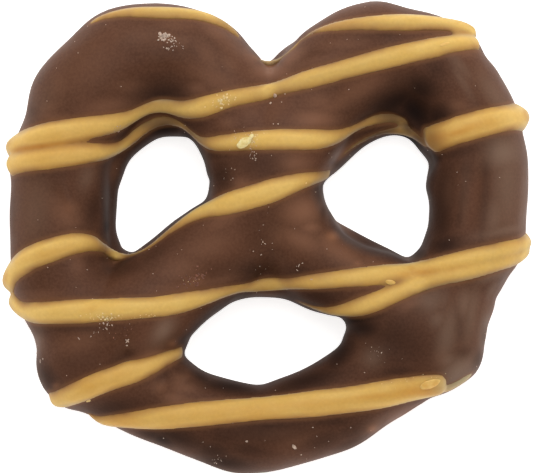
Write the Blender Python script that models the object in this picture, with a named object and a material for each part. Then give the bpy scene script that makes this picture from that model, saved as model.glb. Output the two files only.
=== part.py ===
"""A milk chocolate covered mini pretzel with a piped drizzle, lying flat on its base.

The pretzel is one rope of dough, bent into a loop, crossed over itself at the middle
and pressed down on the loop with both ends. A coat of chocolate covers it all over:
it rounds every junction, and hangs as a low web in the upper corner of each hole.
A thin stream of peanut coating was swung to and fro across it, so it lies over the
chocolate as a set of slanting ridges. All of it is one solid piece of food.

Metres, +Z up. The origin is under the middle of the outline, on the surface that it
rests on. +Y points from the bottom of the loop to the notch between the two lobes.
"""

import math

import bmesh
import bpy
import numpy as np
from mathutils import Vector, noise
from mathutils.bvhtree import BVHTree

MM = 0.001

# ---------------------------------------------------------------- driving dimensions, in mm
ROPE_SIDES = 20            # facets round the coated rope before it is fused
ROPE_STEP = 0.9            # distance between two rings of the rope
WAIST = 0.42               # the rope is widest at this share of its height
CROWN_SQUARE = 0.88        # how domed its top is: 1 is an ellipse, less is flatter
BASE_SQUARE = 0.58         # and its underside, which sagged flat on the belt

DOME_SHARES = (0.5, 0.8, 0.96)   # rings of a rounded end, as shares of the half width
DOME_TIP = 0.45            # how high such an end is at its tip, as a share of its top

FUSE_VOXEL = 0.34          # grain of the fusing, fine enough to keep the holes' corners
MELT_ROUNDS = 16           # how often the coat is smoothed, which rounds the junctions
MELT_SHARE = 0.5           # and how much at a time

RIPPLE = 0.13              # height of the coat's slow unevenness
RIPPLE_LENGTH = 5.5        # and the length of one wave of it
RIPPLE_SEED = Vector((3.1, 7.7, 1.9))   # where in the noise it is taken from
UNDERSIDE = -0.7           # a skin that faces down more than this has none
LEVEL_BELOW = 0.08         # and up to this height it lies level on the table

COAT_TRIANGLES = 6800      # what the fused coat is thinned to
WHOLE_TRIANGLES = 11000    # and what the whole is, with its drizzle
SPECK_FACES = 40           # a closed scrap of fewer faces than this is dropped

DRIZZLE_WIDTH = 1.95       # a ridge of the drizzle, across
DRIZZLE_HEIGHT = 0.62      # and above the chocolate
DRIZZLE_SUNK = 0.70        # how deep its underside lies in the chocolate
DRIZZLE_STEP = 1.05        # distance between two rings of a ridge
DRIZZLE_SIDES = 8
DRIZZLE_TAPER = 0.9        # length over which a ridge runs out at its end
DRIZZLE_TIP = 0.5          # and its size at the very end, as a share
DRIZZLE_SWELL = 0.25       # how much fuller the ridge is where it hangs down a side
STEEP = 0.5                # a side is a skin whose normal rises less than this
SHORTEST_RUN = 5           # a stretch that lies on at fewer points than this is left out
FALL_FROM = 20.0           # the stream falls from well above the coat
LANDS_ABOVE = 2.0          # and lies on nothing lower than this
CLING = 0.9                # a stream this close beside the wall sticks to it
SIDE_LEVEL = 4.2           # at this height
DRIP_STEPS = (0.9, 1.8, 2.7, 3.6, 4.4)   # depths over which an end hangs down the side
DRIP_FLOOR = 1.6           # and the lowest that it reaches
BULGE = 3.0                # how far out of its upper edge a side wall may bulge

# ---------------------------------------------------------------- the rope, in mm
# Stations (x, y, half width, top). The rope starts at its lower left end, climbs over
# the crossing, makes the right lobe, runs down the right side, round the bottom, up the
# left side, makes the left lobe, and goes under the crossing to its lower right end.
FIRST_ARM = [
    (-15.6, -11.0, 4.4, 8.0),
    (-12.1, -7.4, 4.3, 8.5),
    (-9.0, -4.8, 4.25, 8.0),
    (-6.1, -2.7, 4.2, 7.9),
    (-2.8, 0.0, 4.3, 8.5),
    (-0.5, 3.2, 4.5, 9.0),
    (0.9, 6.6, 4.5, 9.1),
    (2.6, 9.6, 4.5, 8.6),
]
RIGHT_LOBE = [
    (5.1, 13.0, 4.6, 7.9),
    (8.8, 15.5, 4.9, 7.7),
    (12.0, 15.2, 4.7, 7.6),
    (14.8, 13.6, 4.55, 7.6),
    (16.5, 11.3, 4.45, 7.5),
]
RIGHT_SIDE = [
    (18.3, 8.6, 4.3, 7.3),
    (18.5, 5.2, 4.3, 7.2),
    (18.4, 1.8, 4.2, 7.2),
    (18.0, -0.9, 4.3, 7.3),
    (15.6, -4.0, 3.85, 7.6),
    (15.1, -7.0, 4.45, 8.0),
]
BOTTOM = [
    (11.7, -10.5, 4.25, 7.8),
    (8.8, -12.8, 4.1, 7.3),
    (5.5, -14.8, 3.95, 7.1),
    (2.0, -16.1, 3.85, 7.0),
    (-1.4, -16.7, 3.9, 7.0),
    (-5.2, -15.8, 3.8, 7.0),
    (-8.8, -14.2, 4.0, 7.1),
    (-12.0, -12.2, 4.4, 7.6),
]
LEFT_SIDE = [
    (-14.6, -9.6, 4.8, 7.9),
    (-16.4, -6.6, 4.55, 7.7),
    (-17.8, -3.2, 4.45, 7.3),
    (-18.1, 0.4, 4.2, 7.2),
    (-18.05, 4.0, 4.15, 7.2),
    (-17.7, 7.4, 4.3, 7.3),
]
LEFT_LOBE = [
    (-16.3, 10.6, 4.6, 7.5),
    (-14.3, 13.6, 4.8, 7.6),
    (-11.5, 15.0, 4.75, 7.6),
    (-8.3, 15.1, 4.75, 7.6),
    (-5.4, 13.7, 4.8, 7.7),
]
SECOND_ARM = [
    (-2.8, 10.8, 4.6, 8.0),
    (-0.9, 7.6, 4.5, 8.2),
    (0.2, 4.4, 4.5, 8.2),
    (1.7, 1.1, 4.2, 8.0),
    (4.0, -2.1, 3.7, 7.6),
    (6.9, -3.8, 3.45, 7.4),
    (10.1, -5.3, 3.9, 7.7),
    (12.6, -7.6, 4.2, 8.2),
    (14.7, -9.7, 4.25, 8.0),
]
ROPE = FIRST_ARM + RIGHT_LOBE + RIGHT_SIDE + BOTTOM + LEFT_SIDE + LEFT_LOBE + SECOND_ARM

# Where the coat ran together in a corner and set as a low web, in the same terms.
WEBS = {
    "notch": [(-2.4, 14.2, 1.6, 4.6), (0.3, 13.2, 2.0, 4.4), (2.8, 15.0, 1.9, 4.4)],
    "crossing": [(-3.4, 9.6, 2.4, 8.0), (0.2, 8.2, 2.6, 8.6), (3.6, 6.4, 2.2, 7.6)],
    "left_hole_top": [(-14.3, 5.2, 1.6, 3.6), (-13.2, 8.0, 1.8, 4.0), (-10.0, 10.4, 1.9, 4.6),
                      (-6.8, 10.3, 1.7, 5.0)],
    "left_hole_foot": [(-14.3, 5.6, 1.4, 3.4), (-14.5, 3.0, 1.35, 3.2), (-14.5, 0.4, 1.3, 3.2),
                       (-14.0, -2.0, 1.3, 3.8), (-11.2, -3.1, 1.4, 4.8)],
    "right_hole_top": [(4.6, 7.0, 2.0, 5.2), (8.0, 9.8, 2.0, 4.6), (12.0, 10.6, 1.9, 4.2),
                       (14.6, 9.1, 1.8, 4.4), (15.6, 5.4, 1.5, 4.2)],
    "right_hole_foot": [(4.3, 1.3, 1.0, 3.4), (6.4, -0.2, 1.25, 3.0), (9.6, -2.0, 1.35, 3.2),
                        (12.4, -3.4, 1.5, 4.2), (14.8, -2.4, 1.4, 4.6)],
    "bottom_hole_top": [(-5.2, -4.5, 1.8, 5.4), (-1.6, -3.4, 1.8, 5.6), (1.8, -3.6, 1.8, 5.4),
                        (4.8, -5.0, 1.7, 5.2), (8.2, -5.5, 1.6, 5.0)],
    "bottom_hole_left": [(-8.4, -7.2, 1.8, 5.2), (-9.2, -10.4, 1.8, 5.4)],
    "bottom_hole_right": [(8.8, -7.2, 1.7, 5.0), (8.5, -9.6, 1.7, 5.2)],
}

# Hollows in the top of the coat, and humps where the depth is negative:
# (x, y, half length, half width, turn in degrees, depth).
HOLLOWS = [
    (12.9, 11.3, 2.3, 1.4, -50.0, 2.4),
    (-9.3, 12.7, 2.2, 1.3, 5.0, 0.9),
    (18.8, 3.8, 3.4, 0.55, 86.0, 0.30),
    (-13.4, -2.4, 1.9, 0.8, -15.0, 0.6),
    (-12.2, -10.3, 0.8, 0.8, 0.0, 0.45),
    (-8.9, -12.6, 0.9, 0.5, 60.0, -0.30),
    (3.3, 2.7, 1.4, 1.1, 30.0, -0.28),
    (-0.8, -3.2, 1.8, 0.9, 10.0, 0.35),
]

# ---------------------------------------------------------------- the drizzle, in mm
# The passes of the stream in plan. One that ends beyond the outline hangs down the side.
DRIZZLE = {
    "pass_1": [(-15.2, 18.4), (-13.0, 19.1), (-9.8, 19.3), (-6.3, 18.8), (-3.8, 17.8), (-2.0, 16.3)],
    "pass_2": [(4.4, 18.0), (6.0, 18.4), (8.0, 18.6), (12.0, 18.8), (15.4, 18.4), (17.5, 17.7),
               (19.2, 16.8)],
    "pass_3": [(19.6, 16.3), (17.2, 16.8), (15.0, 16.6), (10.0, 15.4), (5.0, 14.1), (0.0, 12.7),
               (-3.5, 12.0), (-6.5, 11.0), (-9.0, 11.2), (-12.0, 10.1), (-16.0, 9.5),
               (-20.0, 8.7), (-22.8, 8.1)],
    "pass_4": [(-22.8, 6.8), (-18.0, 7.0), (-14.0, 7.3), (-11.6, 8.9), (-9.2, 9.9), (-7.2, 9.3),
               (-5.6, 8.2), (-2.0, 8.4), (2.0, 8.5), (6.0, 8.7), (9.0, 9.9), (11.2, 10.0),
               (13.0, 8.9)],
    "pass_5": [(13.6, 8.5), (15.2, 8.9), (17.5, 9.6), (20.0, 10.0), (23.4, 10.2)],
    "pass_6": [(5.6, 5.6), (2.0, 4.6), (-2.0, 3.4), (-4.6, 2.5), (-7.2, 1.1), (-9.2, -0.5),
               (-11.0, -1.7), (-12.6, -2.1), (-14.2, -1.0), (-16.2, -0.5), (-19.0, -1.2),
               (-21.6, -2.6), (-23.4, -4.0)],
    "pass_7": [(-22.9, -5.9), (-20.0, -6.6), (-15.0, -6.4), (-10.0, -6.1), (-6.0, -5.5),
               (-2.0, -4.5), (2.0, -4.2), (7.0, -3.7), (12.0, -3.0), (17.0, -2.0), (23.6, -0.6)],
    "pass_8": [(23.4, -1.2), (18.0, -2.6), (15.0, -3.4), (12.6, -4.45), (10.0, -5.4), (6.6, -6.0),
               (2.4, -5.4)],
    "pass_9": [(-6.8, -9.7), (-9.5, -10.9), (-12.5, -12.2), (-15.5, -13.4), (-18.9, -14.6)],
    "pass_10": [(-16.0, -16.6), (-13.0, -16.1), (-7.0, -15.6), (0.0, -14.8), (6.0, -14.1),
                (11.0, -13.4), (15.9, -12.7)],
}
# The passes that lie on as a thicker stream, and by what share.
THICKER = {"pass_5": 1.25, "pass_10": 1.08}

# Material of each: sRGB colour and roughness.
MILK_CHOCOLATE = ("#5E4033", 0.42)
PEANUT_COATING = ("#D9AA5A", 0.50)


# ---------------------------------------------------------------- helpers
def srgb(code):
    """A #RRGGBB colour as linear RGBA."""
    parts = [int(code[i:i + 2], 16) / 255 for i in (1, 3, 5)]
    return [c / 12.92 if c <= 0.04045 else ((c + 0.055) / 1.055) ** 2.4 for c in parts] + [1.0]


def material(name, code, roughness):
    """A plain Principled material."""
    made = bpy.data.materials.new(name)
    made.use_nodes = True
    made.diffuse_color = srgb(code)
    shader = made.node_tree.nodes["Principled BSDF"]
    shader.inputs["Base Color"].default_value = srgb(code)
    shader.inputs["Roughness"].default_value = roughness
    return made


def smooth_path(stations, step):
    """Rows about a step apart on a smooth curve through the stations, which start with x, y."""
    rows = np.array(stations, float)
    ends = [2 * rows[0] - rows[1], *rows, 2 * rows[-1] - rows[-2]]
    made = []
    for before, start, end, after in zip(ends, ends[1:], ends[2:], ends[3:]):
        count = max(2, round(float(np.linalg.norm(end[:2] - start[:2])) / step))
        for t in np.arange(count) / count:
            made.append(0.5 * (2 * start + (end - before) * t
                               + (2 * before - 5 * start + 4 * end - after) * t ** 2
                               + (3 * start - before - 3 * end + after) * t ** 3))
    return np.array([*made, rows[-1]])


def rounded_ends(path, reach):
    """The share of its full size that a stroke with round ends has at each point of its path."""
    lengths = np.linalg.norm(np.diff(path, axis=0), axis=1)
    along = np.concatenate([[0], np.cumsum(lengths)])
    to_end = np.minimum(along, along[-1] - along)
    return np.sqrt(1 - (1 - np.clip(to_end / reach, 0.0, 1)) ** 2)


def tube(rings):
    """A closed mesh through the rings, each a list of as many points, with a fan on both ends."""
    mesh = bmesh.new()
    loops = [[mesh.verts.new(p) for p in ring] for ring in rings]
    for a, b in zip(loops, loops[1:]):
        for i in range(len(a)):
            j = (i + 1) % len(a)
            mesh.faces.new((a[i], a[j], b[j], b[i]))
    for loop in (loops[0], loops[-1]):
        centre = mesh.verts.new(sum((v.co for v in loop), Vector()) / len(loop))
        for i in range(len(loop)):
            mesh.faces.new((loop[i], loop[(i + 1) % len(loop)], centre))
    bmesh.ops.recalc_face_normals(mesh, faces=mesh.faces)
    return mesh


def add_object(name, mesh, finish):
    """Puts a bmesh in the scene as an object with one material."""
    data = bpy.data.meshes.new(name)
    mesh.to_mesh(data)
    mesh.free()
    data.materials.append(finish)
    made = bpy.data.objects.new(name, data)
    bpy.context.scene.collection.objects.link(made)
    return made


def apply_modifiers(made):
    """Replaces an object's mesh by what its modifiers make of it."""
    graph = bpy.context.evaluated_depsgraph_get()
    data = bpy.data.meshes.new_from_object(made.evaluated_get(graph))
    made.modifiers.clear()
    old, made.data = made.data, data
    bpy.data.meshes.remove(old)


def thin(made, triangles):
    """Thins a closed mesh to about so many triangles, where it is flattest first."""
    made.data.calc_loop_triangles()
    reduce = made.modifiers.new("thin", "DECIMATE")
    reduce.ratio = triangles / len(made.data.loop_triangles)
    apply_modifiers(made)


def drop_specks(made):
    """Removes the closed specks of a few faces that a union leaves where two skins cross."""
    mesh = bmesh.new()
    mesh.from_mesh(made.data)
    mesh.faces.ensure_lookup_table()
    waiting = set(mesh.faces)
    specks = []
    while waiting:
        island, edge = set(), [waiting.pop()]
        while edge:
            face = edge.pop()
            island.add(face)
            near = {other for side in face.edges for other in side.link_faces} & waiting
            waiting -= near
            edge += near
        if len(island) < SPECK_FACES:
            specks += island
    bmesh.ops.delete(mesh, geom=specks, context="FACES")
    mesh.to_mesh(made.data)
    mesh.free()


def level(made):
    """Sets flat on the table what lies no higher above it, or below it, than LEVEL_BELOW."""
    for vertex in made.data.vertices:
        if vertex.co.z < LEVEL_BELOW * MM:
            vertex.co.z = 0.0


# ---------------------------------------------------------------- the rope and its coat
def rope_ring(centre, across, half_width, top):
    """One section of coated rope: flat below, widest at the waist, domed above."""
    ring = []
    waist = WAIST * top
    for turn in np.arange(ROPE_SIDES) * math.tau / ROPE_SIDES:
        side, up = math.cos(turn), math.sin(turn)
        square = CROWN_SQUARE if up > 0 else BASE_SQUARE
        reach = math.copysign(abs(side) ** square, side) * half_width
        rise = math.copysign(abs(up) ** square, up) * (top - waist if up > 0 else waist)
        ring.append(Vector((*(centre + across * reach), waist + rise)) * MM)
    return ring


def rope_mesh(stations):
    """A length of coated rope through its stations, with domed ends."""
    path = smooth_path(stations, ROPE_STEP)
    ahead = np.gradient(path[:, :2], axis=0)
    ahead /= np.linalg.norm(ahead, axis=1, keepdims=True)
    across = np.stack([-ahead[:, 1], ahead[:, 0]], axis=1)
    body = [rope_ring(p[:2], side, p[2], p[3]) for p, side in zip(path, across)]
    domes = []
    for index, sign in ((0, -1), (-1, 1)):
        x, y, half_width, top = path[index]
        dome = []
        for share in DOME_SHARES:
            close = math.sqrt(1 - share ** 2)
            centre = np.array((x, y)) + sign * ahead[index] * half_width * share
            height = top * (DOME_TIP + (1 - DOME_TIP) * close)
            dome.append(rope_ring(centre, across[index], half_width * close, height))
        domes.append(dome)
    return tube(domes[0][::-1] + body + domes[1])


def press(made):
    """Adds the coat's slow ripple and its hollows, and keeps the base flat."""
    vertices = made.data.vertices
    places, normals = np.zeros(3 * len(vertices)), np.zeros(3 * len(vertices))
    vertices.foreach_get("co", places)
    made.data.vertex_normals.foreach_get("vector", normals)
    places, normals = places.reshape(-1, 3) / MM, normals.reshape(-1, 3)
    x, y = places[:, 0].copy(), places[:, 1].copy()
    wave = [noise.noise(Vector(p) / RIPPLE_LENGTH + RIPPLE_SEED) for p in places]
    above = normals[:, 2] > UNDERSIDE
    places[above] += (normals * np.array(wave)[:, None] * RIPPLE)[above]
    for at_x, at_y, long_half, wide_half, turn, depth in HOLLOWS:
        c, s = math.cos(math.radians(turn)), math.sin(math.radians(turn))
        u = ((x - at_x) * c + (y - at_y) * s) / long_half
        v = ((y - at_y) * c - (x - at_x) * s) / wide_half
        places[:, 2] -= depth * np.exp(-(u * u + v * v)) * np.clip(normals[:, 2], 0, 1)
    places[places[:, 2] < LEVEL_BELOW, 2] = 0.0
    vertices.foreach_set("co", (places * MM).ravel())
    made.data.update()


def coat(finish):
    """The coated pretzel: the rope and the webs fused, melted together and thinned."""
    whole = bmesh.new()
    for stations in [ROPE, *WEBS.values()]:
        length = rope_mesh(stations)
        data = bpy.data.meshes.new("length")
        length.to_mesh(data)
        length.free()
        whole.from_mesh(data)
        bpy.data.meshes.remove(data)
    made = add_object("pretzel", whole, finish)
    fuse = made.modifiers.new("fuse", "REMESH")
    fuse.mode = "VOXEL"
    fuse.voxel_size = FUSE_VOXEL * MM
    melt = made.modifiers.new("melt", "SMOOTH")
    melt.iterations = MELT_ROUNDS
    melt.factor = MELT_SHARE
    apply_modifiers(made)
    press(made)
    thin(made, COAT_TRIANGLES)
    return made


# ---------------------------------------------------------------- the drizzle
def lie_on(tree, x, y):
    """Where a stream falling at x, y comes to lie: (point, normal), or None if it misses."""
    point, normal, _, _ = tree.ray_cast(Vector((x, y, FALL_FROM)) * MM, Vector((0, 0, -1)))
    if point is not None and point.z > LANDS_ABOVE * MM:
        return point, normal
    point, normal, _, away = tree.find_nearest(Vector((x, y, SIDE_LEVEL)) * MM)
    return (point, normal) if away < CLING * MM else None


def hang(tree, run):
    """Lets the end of a stretch run on over the edge and hang down the side wall."""
    end, before = run[-1][0], run[-3][0]
    ahead = (end - before) * Vector((1, 1, 0))
    ahead.normalize()
    made = []
    for drop in DRIP_STEPS:
        height = end.z - drop * MM
        start = Vector((end.x, end.y, height)) + ahead * BULGE * MM
        point, normal, _, _ = tree.ray_cast(start, -ahead, (BULGE + 1) * MM)
        if point is not None and height > DRIP_FLOOR * MM:
            made.append((point, normal))
    return run + made


def runs_of(tree, points):
    """The stretches of one pass that lie on the coat, each a list of (point, normal)."""
    lies = [lie_on(tree, x, y) for x, y in smooth_path(points, DRIZZLE_STEP / 2)]
    lies = [None, *lies, None]
    edges = [i for i in range(1, len(lies)) if (lies[i] is None) != (lies[i - 1] is None)]
    made = []
    for start, end in zip(edges[::2], edges[1::2]):
        run = lies[start:end]
        if len(run) < SHORTEST_RUN:
            continue
        if end < len(lies) - 1:
            run = hang(tree, run)
        if start > 1:
            run = hang(tree, run[::-1])
        made.append(run)
    return made


def even(run):
    """A stretch's points and normals, smoothed a little and spaced evenly along it."""
    rows = np.array([[*(point / MM), *normal] for point, normal in run])
    rows[1:-1] = (rows[:-2] + 2 * rows[1:-1] + rows[2:]) / 4
    along = np.concatenate([[0], np.cumsum(np.linalg.norm(np.diff(rows[:, :3], axis=0), axis=1))])
    count = max(4, round(float(along[-1]) / DRIZZLE_STEP))
    spots = np.linspace(0, along[-1], count + 1)
    rows = np.stack([np.interp(spots, along, column) for column in rows.T], axis=1)
    normals = rows[:, 3:] / np.linalg.norm(rows[:, 3:], axis=1, keepdims=True)
    return rows[:, :3], normals


def ridge_mesh(run, thicker):
    """A half round ridge along one stretch, its underside in the chocolate."""
    points, normals = even(run)
    across = np.cross(np.gradient(points, axis=0), normals)
    across /= np.linalg.norm(across, axis=1, keepdims=True)
    size = DRIZZLE_TIP + (1 - DRIZZLE_TIP) * rounded_ends(points, DRIZZLE_TAPER)
    swell = 1 + DRIZZLE_SWELL * (1 - np.clip(normals[:, 2] / STEEP, 0, 1))
    rings = []
    for point, normal, side, share, fuller in zip(points, normals, across, size, swell):
        ring = []
        for turn in (np.arange(DRIZZLE_SIDES) + 0.5) * math.tau / DRIZZLE_SIDES:
            rise = math.sin(turn)
            if rise > 0:
                height = DRIZZLE_HEIGHT * share * fuller * thicker * rise
            else:
                height = -DRIZZLE_SUNK * min(1.0, -2 * rise)
            reach = DRIZZLE_WIDTH / 2 * share * thicker * math.cos(turn)
            ring.append(Vector((point + side * reach + normal * height) * MM))
        rings.append(ring)
    return tube(rings)


def add_drizzle(pretzel, finish):
    """Every ridge of the drizzle, joined to the coat by one union."""
    tree = BVHTree.FromObject(pretzel, bpy.context.evaluated_depsgraph_get())
    ridges = bpy.data.collections.new("ridges")
    for name, points in DRIZZLE.items():
        for run in runs_of(tree, points):
            ridge = add_object(name, ridge_mesh(run, THICKER.get(name, 1.0)), finish)
            bpy.context.scene.collection.objects.unlink(ridge)
            ridges.objects.link(ridge)
    join = pretzel.modifiers.new("join", "BOOLEAN")
    join.operation = "UNION"
    join.operand_type = "COLLECTION"
    join.collection = ridges
    join.solver = "MANIFOLD"
    apply_modifiers(pretzel)
    for ridge in list(ridges.objects):
        bpy.data.objects.remove(ridge)
    bpy.data.collections.remove(ridges)
    thin(pretzel, WHOLE_TRIANGLES)
    drop_specks(pretzel)
    level(pretzel)


def main():
    for old in list(bpy.data.objects):
        bpy.data.objects.remove(old)
    chocolate = material("milk_chocolate", *MILK_CHOCOLATE)
    peanut = material("peanut_coating", *PEANUT_COATING)
    pretzel = coat(chocolate)
    add_drizzle(pretzel, peanut)
    pretzel.data.shade_smooth()
    print("pretzel:", len(pretzel.data.polygons), "faces")


main()
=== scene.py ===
# %% [markdown]
# # A chocolate covered pretzel with a peanut drizzle
# A small twisted pretzel is dipped in warm milk chocolate, which runs together in the
# corners and sets as one soft skin. A thin stream of peanut coating is then swung to and
# fro over it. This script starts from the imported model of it, one solid that gives the
# true size, and makes what the eye sees: the skin, the stream, a few crystals and dust.

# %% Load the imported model
import math

import bmesh
import bpy
import numpy as np
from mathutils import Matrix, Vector, noise
from mathutils.bvhtree import BVHTree


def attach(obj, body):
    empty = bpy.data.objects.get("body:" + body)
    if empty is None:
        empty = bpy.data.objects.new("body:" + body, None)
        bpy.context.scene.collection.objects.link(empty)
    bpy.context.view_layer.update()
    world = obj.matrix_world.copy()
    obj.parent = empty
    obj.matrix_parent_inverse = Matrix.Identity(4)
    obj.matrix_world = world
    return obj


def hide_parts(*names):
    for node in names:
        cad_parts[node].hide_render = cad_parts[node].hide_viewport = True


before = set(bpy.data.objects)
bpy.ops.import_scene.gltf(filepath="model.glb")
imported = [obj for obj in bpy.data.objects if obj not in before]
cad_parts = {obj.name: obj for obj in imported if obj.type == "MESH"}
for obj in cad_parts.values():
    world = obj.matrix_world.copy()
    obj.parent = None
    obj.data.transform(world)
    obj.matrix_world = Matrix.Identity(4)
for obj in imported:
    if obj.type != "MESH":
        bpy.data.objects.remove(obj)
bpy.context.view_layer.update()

MM = 0.001

# %% [markdown]
# ## A few small helpers
# A colour is written down as a screen colour, #RRGGBB, and Blender computes with linear
# light, so one function turns the first into the second. Node trees are made of nodes
# with settings and links, so one function adds a node with both, and the part of it that
# sets or links inputs also serves the nodes that are there already.

# %% Colours, nodes and objects
def linear(code):
    """An sRGB colour as linear RGBA."""
    parts = [int(code[i:i + 2], 16) / 255 for i in (1, 3, 5)]
    return [c / 12.92 if c <= 0.04045 else ((c + 0.055) / 1.055) ** 2.4 for c in parts] + [1.0]


def feed(tree, inputs, values):
    """Sets each input to its value, or links it to an output of another node."""
    for key, value in values.items():
        if isinstance(value, bpy.types.NodeSocket):
            tree.links.new(value, inputs[key])
        else:
            inputs[key].default_value = value


def add(tree, kind, inputs=None, **settings):
    """Adds a node with its settings and feeds its inputs."""
    made = tree.nodes.new(kind)
    for key, value in settings.items():
        setattr(made, key, value)
    feed(tree, made.inputs, inputs or {})
    return made


def put(name, data):
    """A new object in the scene."""
    made = bpy.data.objects.new(name, data)
    bpy.context.scene.collection.objects.link(made)
    return made


print("a middle grey of the screen is", round(linear("#808080")[0], 3), "of linear light")

# %% [markdown]
# ## The camera
# The photograph is a view from straight above. A camera that is far away for so small a
# thing keeps the side walls out of sight, as a long lens does. The scale is the one that
# the size was worked out with: a pixel of the picture is 0.087 mm of pretzel.

# %% Camera
PICTURE = (533, 473)           # pixels
PIXEL = 0.087                  # mm
CAMERA_HEIGHT = 600.0          # mm
SHARP_HEIGHT = 3.0             # mm, where the scale holds
SENSOR = 36.0                  # mm
NEAREST = 10.0                 # mm, what is closer to the lens isn't drawn

camera = put("camera", bpy.data.cameras.new("camera"))
camera.data.lens = SENSOR * (CAMERA_HEIGHT - SHARP_HEIGHT) / (PICTURE[0] * PIXEL)
camera.data.sensor_width = SENSOR
camera.data.clip_start = NEAREST * MM
camera.location = (0, 0, CAMERA_HEIGHT * MM)
bpy.context.scene.camera = camera
bpy.context.scene.view_settings.view_transform = "Standard"
print("lens:", round(camera.data.lens, 1), "mm")

# %% [markdown]
# ## Soft studio light
# Chocolate shows light mostly as a dull sheen, so the light decides how it looks. A single
# small lamp would give it hard white streaks. Here a white tent gives an even, fairly dim
# light from all round, and one wide lamp stands high, a little beyond the notch. It lights
# the tops and the white table inside the holes, and leaves slopes that face away darker.

# %% The tent: a sky that is brighter near the horizon
TENT_LOW = 1.50                # brightness at the horizon
TENT_HIGH = 0.06               # and overhead
TENT_COLOUR = "#FFF5EA"        # white cloth, a little warm

world = bpy.data.worlds.new("tent")
world.use_nodes = True
sky = world.node_tree
way = add(sky, "ShaderNodeSeparateXYZ",
          {"Vector": add(sky, "ShaderNodeTexCoord").outputs["Generated"]}).outputs
glow = add(sky, "ShaderNodeMapRange",
           {"Value": way["Z"], "To Min": TENT_LOW, "To Max": TENT_HIGH}).outputs[0]
feed(sky, sky.nodes["Background"].inputs, {"Color": linear(TENT_COLOUR), "Strength": glow})
bpy.context.scene.world = world
print("the tent falls from", TENT_LOW, "at the horizon to", TENT_HIGH, "overhead")

# %% The lamp
LAMP_WATTS = 0.455
LAMP_SIZE = 230.0              # mm
LAMP_PLACE = (18.0, 128.0, 245.0)    # mm

lamp = put("lamp", bpy.data.lights.new("lamp", "AREA"))
lamp.data.energy = LAMP_WATTS
lamp.data.size = LAMP_SIZE * MM
lamp.location = Vector(LAMP_PLACE) * MM
lamp.rotation_euler = (-lamp.location).to_track_quat("-Z", "Y").to_euler()
print("the lamp is", round(lamp.location.length / MM), "mm away")

# %% The table: white acrylic, lit a little from below so that no shadow turns grey
TABLE_HALF = 400.0             # mm
TABLE_GAP = 0.02               # mm below the base, so that no two faces share a plane
TABLE_WHITE = "#F6F6F6"
TABLE_ROUGHNESS = 0.9
TABLE_GLOW = 0.80


def new_material(name):
    """A material with its node tree and its Principled BSDF's inputs."""
    made = bpy.data.materials.new(name)
    made.use_nodes = True
    return made, made.node_tree, made.node_tree.nodes["Principled BSDF"].inputs


corners = [(x * TABLE_HALF * MM, y * TABLE_HALF * MM, -TABLE_GAP * MM) for x, y in
           ((-1, -1), (1, -1), (1, 1), (-1, 1))]
table_mesh = bpy.data.meshes.new("table")
table_mesh.from_pydata(corners, [], [(0, 1, 2, 3)])
table = put("table", table_mesh)
acrylic, tree, shader = new_material("white_acrylic")
feed(tree, shader, {"Base Color": linear(TABLE_WHITE), "Roughness": TABLE_ROUGHNESS,
                    "Emission Color": (1, 1, 1, 1), "Emission Strength": TABLE_GLOW})
table_mesh.materials.append(acrylic)
print("the table is", round(2 * TABLE_HALF), "mm wide")

# %% [markdown]
# ## What the skin is made of
# Milk chocolate is sugar, cocoa and milk solids set in cocoa butter. Dipped and cooled in
# air, it has a soft sheen: no mirror, but every slow ripple shows. Its brown comes and goes
# a little over some millimetres where fat has moved. Light and shade are painted into it
# too: a dark brown where shade falls in the holes and hollows, a paler brown as painted
# light on lit places and outer walls, and a greyer one as painted sheen where highlights lie.
# A flat brown would look like plastic, so the colour, the sheen and the fine skin each get
# their own noise, sized in millimetres.

# %% Shared steps of a pattern
NOISE_LOW = 0.3                # nearly all values of a noise lie between these two
NOISE_HIGH = 0.7
SOFT_DETAIL = 3.0              # octaves of a noise for slow changes of colour
FINE_DETAIL = 2.0              # and of one for grain and relief


def grain(tree, size, detail):
    """A noise whose waves are about size mm long, in object coordinates."""
    where = add(tree, "ShaderNodeTexCoord").outputs["Object"]
    return add(tree, "ShaderNodeTexNoise",
               {"Vector": where, "Scale": 1 / (size * MM), "Detail": detail}).outputs[0]


def patches(tree, size, low, high, detail=SOFT_DETAIL):
    """Such a noise with its values spread from low to high."""
    spread = {"Value": grain(tree, size, detail), "From Min": NOISE_LOW, "From Max": NOISE_HIGH,
              "To Min": low, "To Max": high}
    return add(tree, "ShaderNodeMapRange", spread).outputs[0]


def paint(tree, ground, coats):
    """A ground colour with others laid over it one by one: (share, colour)."""
    for share, colour in coats:
        ground = add(tree, "ShaderNodeMix", {0: share, 6: ground, 7: linear(colour)},
                     data_type="RGBA", blend_type="MIX").outputs[2]
    return ground


def relief(tree, layers):
    """A normal from layers of noise, the coarsest first: (length of a wave, depth) in mm."""
    normal = {}
    for size, depth in layers:
        height = grain(tree, size, FINE_DETAIL)
        bump = add(tree, "ShaderNodeBump",
                   {"Height": height, "Distance": depth * MM, "Strength": 1.0, **normal})
        normal = {"Normal": bump.outputs[0]}
    return normal["Normal"]


print("a wave of 1 mm is a noise scale of", round(1 / MM))

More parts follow.
